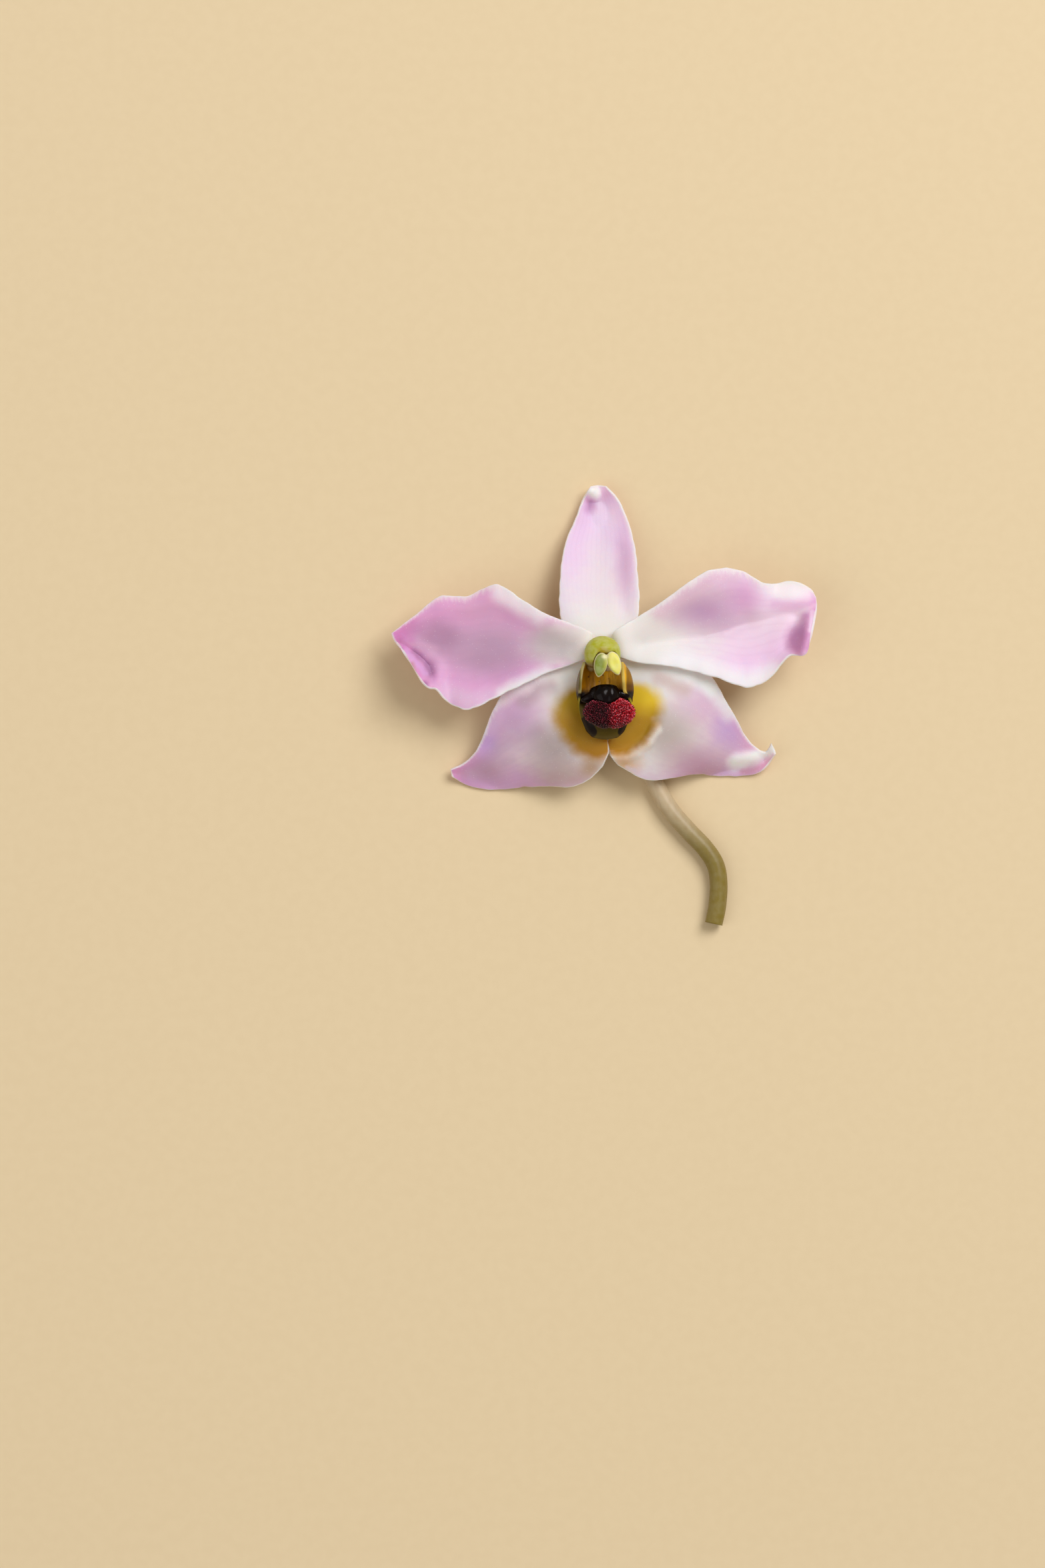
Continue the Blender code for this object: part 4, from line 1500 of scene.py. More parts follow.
@dataclass
class Papillae:
    """The crimson papillae: small club-shaped beads over two cushions with a cleft between them."""

    middle: Point = (0.55, -5.60, 8.15)
    radii: Point = (2.40, 1.40, 0.90)
    cleft_depth: float = 0.30
    cleft_width: float = 0.20
    lower_cleft: float = 0.4
    cleft_sink: float = 0.6
    drawn_in: tuple[float, float] = (0.30, 0.16)
    underside: float = -0.6
    callus: Callus = Callus()
    callus_clear: float = 0.22
    count: int = 3800
    lowest: float = -0.28
    scatter: float = 0.012
    lean: float = 0.10
    widths: tuple[float, float] = (0.036, 0.042)
    slender: float = 2.1
    waist: float = 0.25
    sunk: float = 0.3
    aside: Point = (0.3, 0.5, 0.81)
    seed: int = 41
    finish: PapillaeFinish = PapillaeFinish()

    def build(self) -> Piece:
        """Models the cushions and their papillae.

        Returns:
            One piece that holds them all.
        """
        cushion = fine_ball()
        place_points(cushion, self.shaped(points_of(cushion)))
        store_values(cushion, "tint", np.full(len(cushion.data.vertices), CUSHION_TINT))
        beads = self.beads()
        make_active(cushion)
        beads.select_set(True)
        bpy.ops.object.join()
        return cushion

    def shaped(self, ball: np.ndarray) -> np.ndarray:
        """Moves points of a unit ball to the cushions' form.

        Args:
            ball: The points.

        Returns:
            The points on the cushions.
        """
        x, y, z = ball.T
        cleft = self.cleft_depth * np.exp(-((x / self.cleft_width) ** 2))
        notch = np.where(y > 0, cleft, self.lower_cleft * cleft)
        x = x * (1 - np.where(x < 0, *self.drawn_in) * np.clip(-y, 0, 1) ** 1.5)
        high = np.maximum(z * (1 - self.cleft_sink * cleft), self.underside)
        points = np.stack((x, y * (1 - notch), high), axis=1)
        return self.off_callus(points * np.array(self.radii) + np.array(self.middle))

    def off_callus(self, points: np.ndarray) -> np.ndarray:
        """Moves points away from the callus where they would lie too close to it.

        Args:
            points: The points.

        Returns:
            The points, with none too close.
        """
        clear = np.array(self.callus.radii) + self.callus_clear
        off = points - np.array(self.callus.middle)
        near = np.linalg.norm(off / clear, axis=1)
        push = np.where(near < 1, near, 1.0)[:, None]
        return np.array(self.callus.middle) + off / push

    def scattered(self, spread: np.random.Generator) -> np.ndarray:
        """Points spread over a unit ball but for its underside, nearly evenly.

        Args:
            spread: Where the random draws come from.

        Returns:
            One point for each papilla.
        """
        number = np.arange(self.count) + 0.5
        height = 1 - 2 * number / self.count
        turn = np.pi * (1 + 5**0.5) * number
        ring = np.sqrt(1 - height**2)
        ball = np.stack((ring * np.cos(turn), ring * np.sin(turn), height), axis=1)
        ball = unit(ball + spread.normal(0.0, self.scatter, ball.shape))
        return ball[ball[:, 2] > self.lowest]

    def one_bead(self) -> Piece:
        """Models one papilla: a small ball of plain triangles.

        Returns:
            The ball.
        """
        deselect()
        bpy.ops.mesh.primitive_uv_sphere_add(segments=7, ring_count=5, radius=1.0)
        make_active(newest())
        bpy.ops.object.mode_set(mode="EDIT")
        bpy.ops.mesh.quads_convert_to_tris()
        bpy.ops.object.mode_set(mode="OBJECT")
        return newest()

    def beads(self) -> Piece:
        """Models one papilla and sets copies of it over the cushions.

        Returns:
            All the papillae as one object.
        """
        pattern = self.one_bead()
        one = points_of(pattern)
        one[:, :2] *= 1 - self.waist + self.waist * one[:, 2:]
        corners = np.array([tuple(face.vertices) for face in pattern.data.polygons])
        spread = np.random.default_rng(self.seed)
        ball = self.scattered(spread)
        feet = self.shaped(ball)
        outward = ball / np.array(self.radii)
        outward = unit(outward + spread.normal(0.0, self.lean, outward.shape))
        least, more = self.widths
        size = least + more * spread.random(len(feet)) ** 1.5
        luck = spread.random(len(feet)) ** 1.4
        points, faces, tints = [], [], []
        for index, (foot, up, wide, tint) in enumerate(zip(feet, outward, size, luck)):
            side = np.cross(up, self.aside)
            side /= np.linalg.norm(side)
            tall = wide * self.slender
            axes = np.stack((side * wide, np.cross(up, side) * wide, up * tall))
            points.append(one @ axes + foot + up * (tall - self.sunk * wide))
            faces.append(corners + index * len(one))
            tints.append(np.full(len(one), LEAST_BEAD_TINT + (1 - LEAST_BEAD_TINT) * tint))
        mesh = bpy.data.meshes.new("papillae_beads")
        mesh.from_pydata(to_row(np.concatenate(points)).tolist(), [], np.concatenate(faces).tolist())
        pattern.data = mesh
        store_values(pattern, "tint", np.concatenate(tints))
        return pattern

    def dress(self, piece: Piece, groups: TissueGroups) -> None:
        """Gives the papillae their finish and hands them over."""
        hand_over(piece, self.finish.material(groups), "papillae_cushions", Slot.PAPILLAE, "lip_papillae")


@dataclass
class Column:
    """The column: a hood on a neck, hollow in front, whose foot runs under the lip."""

    hood: tuple[Point, Point] = ((-0.1, 0.35, 7.9), (1.78, 1.65, 1.70))
    hollow: tuple[Point, Point] = ((0.30, -1.25, 9.1), (1.42, 2.05, 1.95))
    pad: tuple[Point, Point] = ((0.02, 0.74, 8.60), (1.30, 0.62, 1.00))
    cheek: tuple[Point, Point] = ((-1.15, -0.95, 7.35), (0.52, 0.60, 0.55))
    foot: tuple[Point, Point] = ((0.15, -3.05, 4.95), (0.75, 3.00, 0.42))
    foot_tip_rise: float = 1.05
    neck_y: float = 0.40
    neck_radii: tuple[float, float] = (1.10, 1.30)
    neck_span: tuple[float, float] = (4.70, 7.60)
    cell: float = 0.06
    finish: FleshFinish = FleshFinish(
        "column",
        "8A6A10",
        "B2B62A",
        1,
        -1.05,
        -0.25,
        Sheen(0.40, 0.25, 0.4, 0.9),
        ((-0.05, 0.45, 8.9), (1.05, 0.80, 1.2), "B09A0C"),
    )

    def build(self) -> Piece:
        """Models the column.

        Returns:
            The column, not yet dressed.
        """
        body = self.bell()
        merge_with(body, self.neck())
        merge_with(body, self.foot_under_lip())
        merge_with(body, egg(*self.hollow), Join.CUT)
        merge_with(body, egg(*self.pad))
        merge_with(body, egg(*self.cheek))
        even_skin(body, self.cell, 10)
        return body

    def bell(self) -> Piece:
        """Models the hood before it is hollowed: a ball whose sides run straight down in front.

        Returns:
            The hood.
        """
        hood, ball = round_ball()
        ball[:, 0] *= np.sqrt(1 + np.clip(-ball[:, 1], 0, 1) ** 2)
        middle, radii = self.hood
        place_points(hood, ball * np.array(radii) + np.array(middle))
        return hood

    def neck(self) -> Piece:
        """Models the neck, from the flower's base up into the hood.

        Returns:
            The neck.
        """
        deselect()
        low, high = self.neck_span
        bpy.ops.mesh.primitive_cone_add(
            vertices=48,
            radius1=self.neck_radii[0] * MM,
            radius2=self.neck_radii[1] * MM,
            depth=(high - low) * MM,
            location=row_vector((0.0, self.neck_y, (low + high) / 2)),
        )
        return newest()

    def foot_under_lip(self) -> Piece:
        """Models the foot, whose end rises to carry the lip.

        Returns:
            The foot.
        """
        foot = egg(*self.foot)
        points = points_of(foot)
        far = np.clip(-(points[:, 1] / MM - FLOWER_PLACE[1] - self.foot[0][1]) / self.foot[1][1], 0, 1)
        points[:, 2] += self.foot_tip_rise * MM * far**6
        set_points(foot, points)
        return foot

    def dress(self, body: Piece, groups: TissueGroups) -> None:
        """Gives the column its finish and hands it over."""
        hand_over(body, self.finish.material(groups), "column_hood", Slot.COLUMN, "column")


@dataclass
class AntherCap:
    """The anther cap: two lobes joined by a bridge, each with a cell that is open behind."""

    lobes: tuple[tuple[Point, float], ...] = (((-0.32, -0.90, 9.35), -10.0), ((1.05, -0.75, 9.35), 20.0))
    lobe_radii: Point = (0.66, 1.22, 0.62)
    back: float = 0.90
    thin_ends: float = 0.10
    cup: float = 0.24
    cup_width: float = 0.35
    cell_radii: Point = (0.46, 1.00, 0.52)
    cell_back: float = -0.32
    bridge: tuple[Point, Point] = ((0.34, -0.35, 9.3), (0.75, 0.48, 0.32))
    rim_from: float = 0.84
    rim_width: float = 0.12
    hinge: tuple[Spot, Spot] = ((0.17, -0.05), (0.35, 0.25))
    cell: float = 0.035
    # Painted shade and light: olive on the left lobe to bright yellow-green on the right, as lit from the right.
    finish: FleshFinish = FleshFinish(
        "anther",
        "7E8E0A",
        "F0EA70",
        0,
        -0.3,
        0.9,
        Sheen(0.40, 0.18, 0.3, 0.6),
        ((0.2, -0.05, 9.4), (0.36, 0.26, 0.6), "CDD0C0"),
        rim="EDE8B4",
    )

    def build(self) -> Piece:
        """Models the cap.

        Returns:
            The cap, with its rim marked for the finish.
        """
        cap = egg(*self.bridge)
        for (x, y, z), degrees in self.lobes:
            turn = math.radians(degrees)
            merge_with(cap, self.lobe((x, y, z), turn))
            merge_with(cap, egg((x, y, z + self.cell_back), self.cell_radii, turn), Join.CUT)
        even_skin(cap, self.cell, 6)
        self.mark_rim(cap)
        return cap

    def lobe(self, middle: Point, turn: float) -> Piece:
        """Models one lobe: a shallow cup, drawn out to a blunt point at its lower end.

        Args:
            middle: The lobe's middle.
            turn: Its turn about Z, in radians.

        Returns:
            The lobe.
        """
        lobe, ball = round_ball()
        inner = 1 - ball[:, 2] ** 2
        front = np.sqrt(np.clip(1 - inner**2, 0, 1)) - self.cup * np.exp(-inner / self.cup_width)
        ball[:, 2] = np.where(ball[:, 2] > 0, front, self.back * ball[:, 2])
        ball[:, 0] *= self.leaf(ball[:, 1])
        ball[:, 2] *= 0.90 - self.thin_ends * ball[:, 1] ** 2
        ball *= self.lobe_radii
        place_points(lobe, ball @ turn_about_z(turn) + np.array(middle))
        return lobe

    def leaf(self, along: np.ndarray) -> np.ndarray:
        """How wide a lobe is beside a plain oval: broad above, drawn in to its tip below."""
        return 1.0 + 0.16 * along - 0.24 * np.clip(-along, 0, 1) ** 3

    def mark_rim(self, cap: Piece) -> None:
        """Marks the outer rim of each lobe, and the pale bridge where the cap hangs.

        Args:
            cap: The cap.
        """
        spots = flower_points(cap)[:, :2]
        nearest = np.full(len(spots), np.inf)
        for (x, y, _), degrees in self.lobes:
            local = (spots - (x, y)) @ turn_about_z(-math.radians(degrees))[:2, :2] / self.lobe_radii[:2]
            local[:, 0] /= self.leaf(np.clip(local[:, 1], -1, 1))
            nearest = np.minimum(nearest, np.linalg.norm(local, axis=1))
        rim = np.clip((nearest - self.rim_from) / self.rim_width, 0, 1)
        middle, radii = self.hinge
        hinge = np.clip(1.4 - np.linalg.norm((spots - middle) / radii, axis=1), 0, 1)
        store_values(cap, "rim", np.maximum(rim, hinge))

    def dress(self, cap: Piece, groups: TissueGroups) -> None:
        """Gives the cap its finish and hands it over."""
        hand_over(cap, self.finish.material(groups), "anther_cap_lobes", Slot.ANTHER, "anther_cap")


@dataclass
class Pollinia:
    """A pair of waxy pollinia in each of the anther's cells, the two of a pair grown together."""

    cap: AntherCap
    radii: Point = (0.14, 0.55, 0.18)
    apart: float = 0.10
    back: float = -0.26
    segments: int = 24
    cell: float = 0.025
    sheen: Sheen = Sheen(0.3, 0.5, 0.2, 0.3)

    def build(self, side: Side) -> Piece:
        """Models one pair.

        Args:
            side: The side of the cell that it lies in.

        Returns:
            The pair.
        """
        (x, y, z), degrees = self.cap.lobes[side]
        turn = math.radians(degrees)
        dx, dy = math.cos(turn) * self.apart, math.sin(turn) * self.apart
        pair = egg((x - dx, y - dy, z + self.back), self.radii, turn, self.segments)
        merge_with(pair, egg((x + dx, y + dy, z + self.back), self.radii, turn, self.segments))
        even_skin(pair, self.cell, 2)
        return pair

    def dress(self, pair: Piece, side: Side, groups: TissueGroups) -> None:
        """Gives a pair its finish and hands it over.

        Args:
            pair: The pair.
            side: The side of the cell that it lies in.
            groups: The shared node groups.
        """
        name = side.name.lower()
        finish = FleshFinish(f"pollinia_{name}", "D9A028", "E8BE4A", 1, -1.6, 0.0, self.sheen)
        hand_over(pair, finish.material(groups), f"pollinia_pair_{name}", Slot.POLLINIA, f"pollinia_{name}")


@dataclass
class Stalk:
    """The stalk and ovary: a ribbed tube that widens into the ovary and ends in a clean cut."""

    radius: float = 0.90
    ovary_radius: float = 1.05
    ovary_share: float = 0.28
    flare: float = 0.75
    flare_share: float = 0.045
    steps: tuple[int, int] = (150, 36)
    rib: float = 0.05
    ribs: int = 6
    look_ahead: float = 0.004
    aside: Point = (1.0, 0.35, 0.0)
    merge_metres: float = 0.00001
    finish: FleshFinish = FleshFinish(
        "stalk",
        "86742A",
        "CAB694",
        1,
        -20.2,
        -13.4,
        Sheen(0.42, 0.4, 0.2, 0.8),
        streaks=0.18,
        cloud_share=0.04,
    )

    def build(self) -> Piece:
        """Models the stalk.

        Returns:
            The stalk, not yet dressed.
        """
        tube, share, across = plain_sheet(self.steps)
        turn = (across + 1) * math.pi
        line = np.array(STALK_LINE)
        step = unit(smooth_curve(line, share + self.look_ahead) - smooth_curve(line, share - self.look_ahead))
        side = unit(np.cross(step, self.aside))
        around = np.cos(turn)[:, None] * side + np.sin(turn)[:, None] * np.cross(side, step)
        place_points(tube, smooth_curve(line, share) + around * self.radius_at(share, turn)[:, None])
        self.close(tube)
        return tube

    def radius_at(self, share: np.ndarray, turn: np.ndarray) -> np.ndarray:
        """The tube's radius, with its ovary, its flared top and its ribs.

        Args:
            share: Where along the stalk, 0 to 1.
            turn: Where round it, in radians.

        Returns:
            One radius for each point.
        """
        ovary = np.clip(1 - share / self.ovary_share, 0, 1)
        radius = self.radius + (self.ovary_radius - self.radius) * ovary
        radius = radius + self.flare * np.exp(-((share / self.flare_share) ** 2))
        return radius - self.rib * (0.25 + ovary) * (0.5 - 0.5 * np.cos(self.ribs * turn))

    def close(self, tube: Piece) -> None:
        """Joins the rolled sheet along its seam and closes its two ends.

        Args:
            tube: The rolled sheet.
        """
        make_active(tube)
        bpy.ops.object.mode_set(mode="EDIT")
        bpy.ops.mesh.select_all(action="SELECT")
        bpy.ops.mesh.remove_doubles(threshold=self.merge_metres)
        bpy.ops.mesh.select_all(action="DESELECT")
        bpy.ops.mesh.select_non_manifold(
            extend=False,
            use_wire=False,
            use_boundary=True,
            use_multi_face=False,
            use_non_contiguous=False,
            use_verts=False,
        )
        bpy.ops.mesh.fill_holes(sides=0)
        bpy.ops.mesh.select_all(action="SELECT")
        bpy.ops.mesh.normals_make_consistent(inside=False)
        bpy.ops.object.mode_set(mode="OBJECT")

    def dress(self, tube: Piece, groups: TissueGroups) -> None:
        """Gives the stalk its finish and hands it over."""
        hand_over(tube, self.finish.material(groups), "stalk_tube", Slot.STALK, "stalk_with_ovary")


@dataclass(frozen=True)
class Lamp:
    """A square lamp: where it is and how wide, both in metres, its power in watts and its colour."""

    name: str
    place: Point
    size: float
    power: float
    colour: Point

    def build(self) -> None:
        """Adds the lamp, turned to face the flower."""
        bpy.ops.object.light_add(type="AREA", location=self.place)
        lamp = newest()
        lamp.name = self.name
        lamp.data.size = self.size
        lamp.data.energy = self.power
        lamp.data.color = self.colour
        lamp.rotation_euler = Vector(self.place).to_track_quat("Z", "Y").to_euler()


@dataclass
class Studio:
    """The pale surface, the lamps and the camera that looks straight down."""

    lamps: tuple[Lamp, ...] = (
        Lamp("key_lamp", (0.35, 0.35, 0.62), 0.42, 4.15, (1.0, 0.98, 0.99)),
        Lamp("fill_lamp", (-0.45, -0.20, 0.60), 0.70, 1.2, (1.0, 0.96, 0.95)),
    )
    sky_colour: Colour = (1.0, 0.93, 0.80, 1.0)
    sky_strength: float = 0.34
    floor_metres: float = 3.0
    aim: Spot = (-7.98, -12.59)
    plane: float = 5.0
    lens: float = 150.0
    sensor: float = 36.0
    frame_height: float = 155.07
    clip_metres: tuple[float, float] = (0.01, 10.0)

    def build(self) -> None:
        """Builds the surface, the lamps, the sky and the camera."""
        self.surface()
        for lamp in self.lamps:
            lamp.build()
        self.sky()
        self.camera()

    def surface(self) -> None:
        """Builds the surface that the flower lies on."""
        deselect()
        bpy.ops.mesh.primitive_plane_add(size=self.floor_metres)
        floor = newest()
        floor.name = "pale_surface"
        floor.data.materials.append(FloorFinish().material())

    def sky(self) -> None:
        """Sets an even light from all round."""
        world = bpy.data.worlds.new("studio")
        bpy.context.scene.world = world
        world.use_nodes = True
        ground = world.node_tree.nodes["Background"]
        ground.inputs["Color"].default_value = self.sky_colour
        ground.inputs["Strength"].default_value = self.sky_strength

    def camera(self) -> None:
        """Adds the camera, as high as its lens needs to take in the photograph's frame."""
        high = self.frame_height * self.lens / self.sensor + self.plane
        bpy.ops.object.camera_add(location=row_vector((*self.aim, high)), rotation=(0.0, 0.0, 0.0))
        camera = newest()
        camera.name = "view_from_above"
        camera.data.lens = self.lens
        camera.data.sensor_width = self.sensor
        camera.data.clip_start, camera.data.clip_end = self.clip_metres
        bpy.context.scene.camera = camera
        bpy.context.scene.view_settings.view_transform = "Standard"


def dorsal_sepal() -> Tepal:
    """The top sepal: concave, its tip curled forward."""
    return Tepal(
        "dorsal_sepal",
        DORSAL_SEPAL,
        TepalFinish(
            "dorsal_sepal",
            blush="EED2F2",
            tip="ECC6E6",
            blush_from=0.22,
            blush_to=0.72,
            middle_blush=0.72,
            feather=0.02,
            tints=(
                # Painted shade in the hollow under the curled tip.
                Tint((-1.25, 15.15), (1.0, 1.3), "B87CB0", 0.65),
                # Painted shade inside the raised right margin.
                Tint((2.1, 8.8), (1.5, 5.4), "CCA8CA", 0.65),
                # Painted highlight on the tip's knob.
                Tint((-0.85, 16.4), (1.0, 0.9), "FFFFFF", 0.95, 0.25),
                # Painted light below the tip, where the raised right margin shades it.
                Tint((1.0, 13.8), (1.3, 2.4), "FCE2F8", 0.8),
            ),
        ),
        Slot.SEPAL,
        waves=Wave(0.08, 2.0, 0.1),
        reliefs=(
            Relief(((-1.5, 15.5), (-1.2, 14.9)), -0.50, 0.70),
            Relief(((-0.95, 16.5), (-0.75, 16.2)), 0.60, 0.45),
            Relief(((-1.3, 17.1), (0.2, 17.2)), -0.60, 0.55),
            Relief(((2.3, 4.5), (2.3, 8.0), (1.9, 10.5)), -0.20, 0.8),
        ),
        nicks=(Nick((-0.85, 17.1), 0.25, 0.28),),
    )


def left_petal() -> Tepal:
    """The petal on the viewer's left: its tip's edge is folded forward."""
    return Tepal(
        "left_petal",
        LEFT_PETAL,
        TepalFinish(
            "left_petal",
            blush="E2AEDA",
            tip="D98ED0",
            blush_from=0.22,
            blush_to=0.50,
            tints=(
                Tint((-19.2, 3.0), (2.2, 1.6), "CC90BE", 0.6),
                # Deeper mauve towards the tip, partly painted shade of the cupped blade.
                Tint((-16.2, 1.9), (3.8, 2.6), "B084A6", 0.7, 0.2),
                # Painted light on the raised upper margin.
                Tint((-12.5, 4.6), (4.6, 2.2), "E2BCD8", 0.5),
                # Painted shade over the middle of the cupped blade.
                Tint((-11.2, 0.4), (6.8, 4.0), "B898B4", 0.75, 0.1),
                # Painted shadow: grey at the base, where the column and dorsal sepal shade it.
                Tint((-4.8, 1.2), (4.2, 2.9), "C4BCC0", 0.7, 0.2),
                # Painted shade in the valley beside the folded flap.
                Tint((-16.9, -1.2), (1.0, 1.7), "AC7CA6", 0.6),
                # Painted shade at the end of the rolled flap.
                Tint((-17.7, -2.7), (0.7, 0.6), "A070A4", 0.7, 0.2),
            ),
            strokes=(
                # Painted light along the lower margin, which faces the lamp, with painted glints.
                Stroke(
                    ((-15.8, -3.6), (-12.5, -4.6), (-9.4, -3.7), (-6.8, -2.5)),
                    1.9, "EAC8E6", 0.85, 0.05, 0.10,
                ),
                # Painted light on the lower margin near the base, with painted glints.
                Stroke(((-9.8, -3.7), (-7.8, -2.7), (-5.6, -1.6)), 1.3, "FFF6FC", 0.8, 0.0, 0.25),
                # Painted light along the upper margin, with painted glints.
                Stroke(((-10.2, 6.4), (-8.2, 5.1), (-6.4, 4.0)), 1.7, "FAEAF4", 0.85, 0.05, 0.22),
                Stroke(((-20.2, 1.35), (-18.6, 1.2), (-16.4, 0.9)), 0.5, "D2A2C0", 0.35, 0.0),
                # Painted shade along the flap's fold.
                Stroke(((-18.7, 0.5), (-17.5, -0.6), (-17.1, -1.6)), 0.7, "A474A2", 0.45, 0.0),
                # Painted highlight along the rolled flap.
                Stroke(
                    ((-19.5, 0.5), (-18.8, -0.3), (-17.9, -1.1), (-17.6, -1.6)),
                    0.50, "E0B4E6", 0.85, 0.1,
                ),
                # Painted shade beside the flap's highlight.
                Stroke(((-18.9, -0.7), (-18.3, -2.3)), 0.45, "B88A8C", 0.65, 0.0),
            ),
        ),
        Slot.PETAL,
        waves=Wave(0.12, 3.5, 0.3),
        reliefs=(
            Relief(((-20.2, 1.2), (-19.2, 0.6), (-18.1, -0.1), (-17.3, -1.0), (-17.1, -2.0)), -0.80, 0.55),
            Relief(((-19.9, 0.6), (-19.0, -0.3), (-18.4, -1.5), (-18.0, -2.5)), 0.55, 0.55),
            Relief(((-3.0, 1.0), (-8.0, 1.4), (-14.0, 1.2), (-20.6, 1.7)), -0.05, 0.60),
            Relief(((-4.5, 0.0), (-7.5, -0.9), (-10.5, -1.9), (-12.7, -1.6), (-15.3, -0.8)), -0.45, 1.4),
            Relief(((-5.0, 3.2), (-8.0, 4.5), (-10.5, 5.8), (-13.0, 5.0), (-16.0, 4.8)), 0.26, 1.0),
        ),
        nicks=(Nick((-17.0, -3.1), 0.30, 0.30), Nick((-16.4, -3.7), 0.75, 0.60), Nick((-14.4, -5.1), 0.10, 0.4)),
    )


def right_petal() -> Tepal:
    """The petal on the viewer's right: the larger one, with a crease and a folded end."""
    return Tepal(
        "right_petal",
        RIGHT_PETAL,
        TepalFinish(
            "right_petal",
            blush="F0D0EE",
            tip="E2A0DA",
            blush_from=0.32,
            blush_to=0.64,
            middle_blush=0.6,
            feather=0.11,
            tints=(
                # Painted shade over the upper half of the cupped blade.
                Tint((10.0, 4.4), (6.4, 3.4), "C294C0", 0.8),
                # Deeper pink and painted shade left of the raised lobe.
                Tint((14.0, 5.8), (2.4, 2.4), "D9A0D4", 0.5),
                Tint((14.6, -1.4), (3.6, 2.2), "F4CEF2", 0.5),
                # Painted light on the raised lobe, which faces the lamp.
                Tint((18.2, 6.8), (4.4, 2.4), "FFF0FE", 0.95, 0.2),
                # Deeper pink and painted shade in the rolled fold at the end.
                Tint((19.2, 1.6), (1.7, 2.3), "B87AAE", 0.8, 0.25),
            ),
            strokes=(
                # Painted light along the lower margin, with painted glints.
                Stroke(
                    ((7.0, -0.4), (11.5, -1.6), (14.2, -2.6), (16.8, -1.6)),
                    2.0, "FFF4FD", 0.8, 0.0, 0.20,
                ),
                # Painted light along the upper margin, with painted glints.
                Stroke(((5.5, 4.4), (8.0, 6.1), (10.8, 7.8), (13.0, 8.0)), 1.3, "E2C2D8", 0.6, 0.0, 0.20),
                Stroke(((17.0, 5.2), (19.0, 5.1), (20.8, 5.4)), 0.9, "E4B6DE", 0.45, 0.0),
                # Painted shade in the upper part of the end's fold.
                Stroke(((19.5, 2.6), (20.1, 4.0)), 0.8, "C48ABE", 0.55, 0.0),
                # Painted light along the crease, at the lit edge of the lobe.
                Stroke(
                    ((12.2, 2.4), (14.0, 3.2), (17.0, 3.9), (19.6, 4.4), (21.0, 5.0)),
                    0.45, "F6E0F0", 0.45, 0.0,
                ),
                # Painted light on the strip rolled over at the end.
                Stroke(((20.4, 2.6), (20.8, 4.3)), 0.42, "F4D6F2", 0.85, 0.3),
            ),
        ),
        Slot.PETAL,
        waves=Wave(0.12, 3.5, 0.3),
        reliefs=(
            Relief(((4.0, 1.2), (7.0, 1.5), (10.0, 1.9), (12.0, 2.5), (14.0, 3.2)), -0.35, 1.1),
            Relief(
                ((10.0, 2.0), (12.0, 2.6), (14.0, 3.2), (16.5, 3.9), (19.0, 4.5), (21.2, 5.1)),
                -0.22, 0.60,
            ),
            Relief(((19.7, 0.4), (20.1, 2.0), (20.4, 3.4)), 0.50, 0.45),
            Relief(((18.3, 0.9), (18.8, 2.4), (19.3, 3.8)), -0.50, 0.80),
            Relief(((5.5, 4.4), (8.0, 6.0), (10.5, 7.2), (12.8, 7.4)), 0.32, 1.2),
            Relief(((15.9, 7.3), (15.6, 6.0), (15.3, 5.0)), 0.36, 1.1),
            Relief(((17.4, 7.6), (18.9, 7.4), (20.6, 6.7)), -0.80, 1.3),
        ),
        nicks=(Nick((15.9, 7.5), 0.12, 0.4), Nick((20.6, 1.6), 0.12, 0.35), Nick((17.6, -1.0), 0.08, 0.3)),
    )


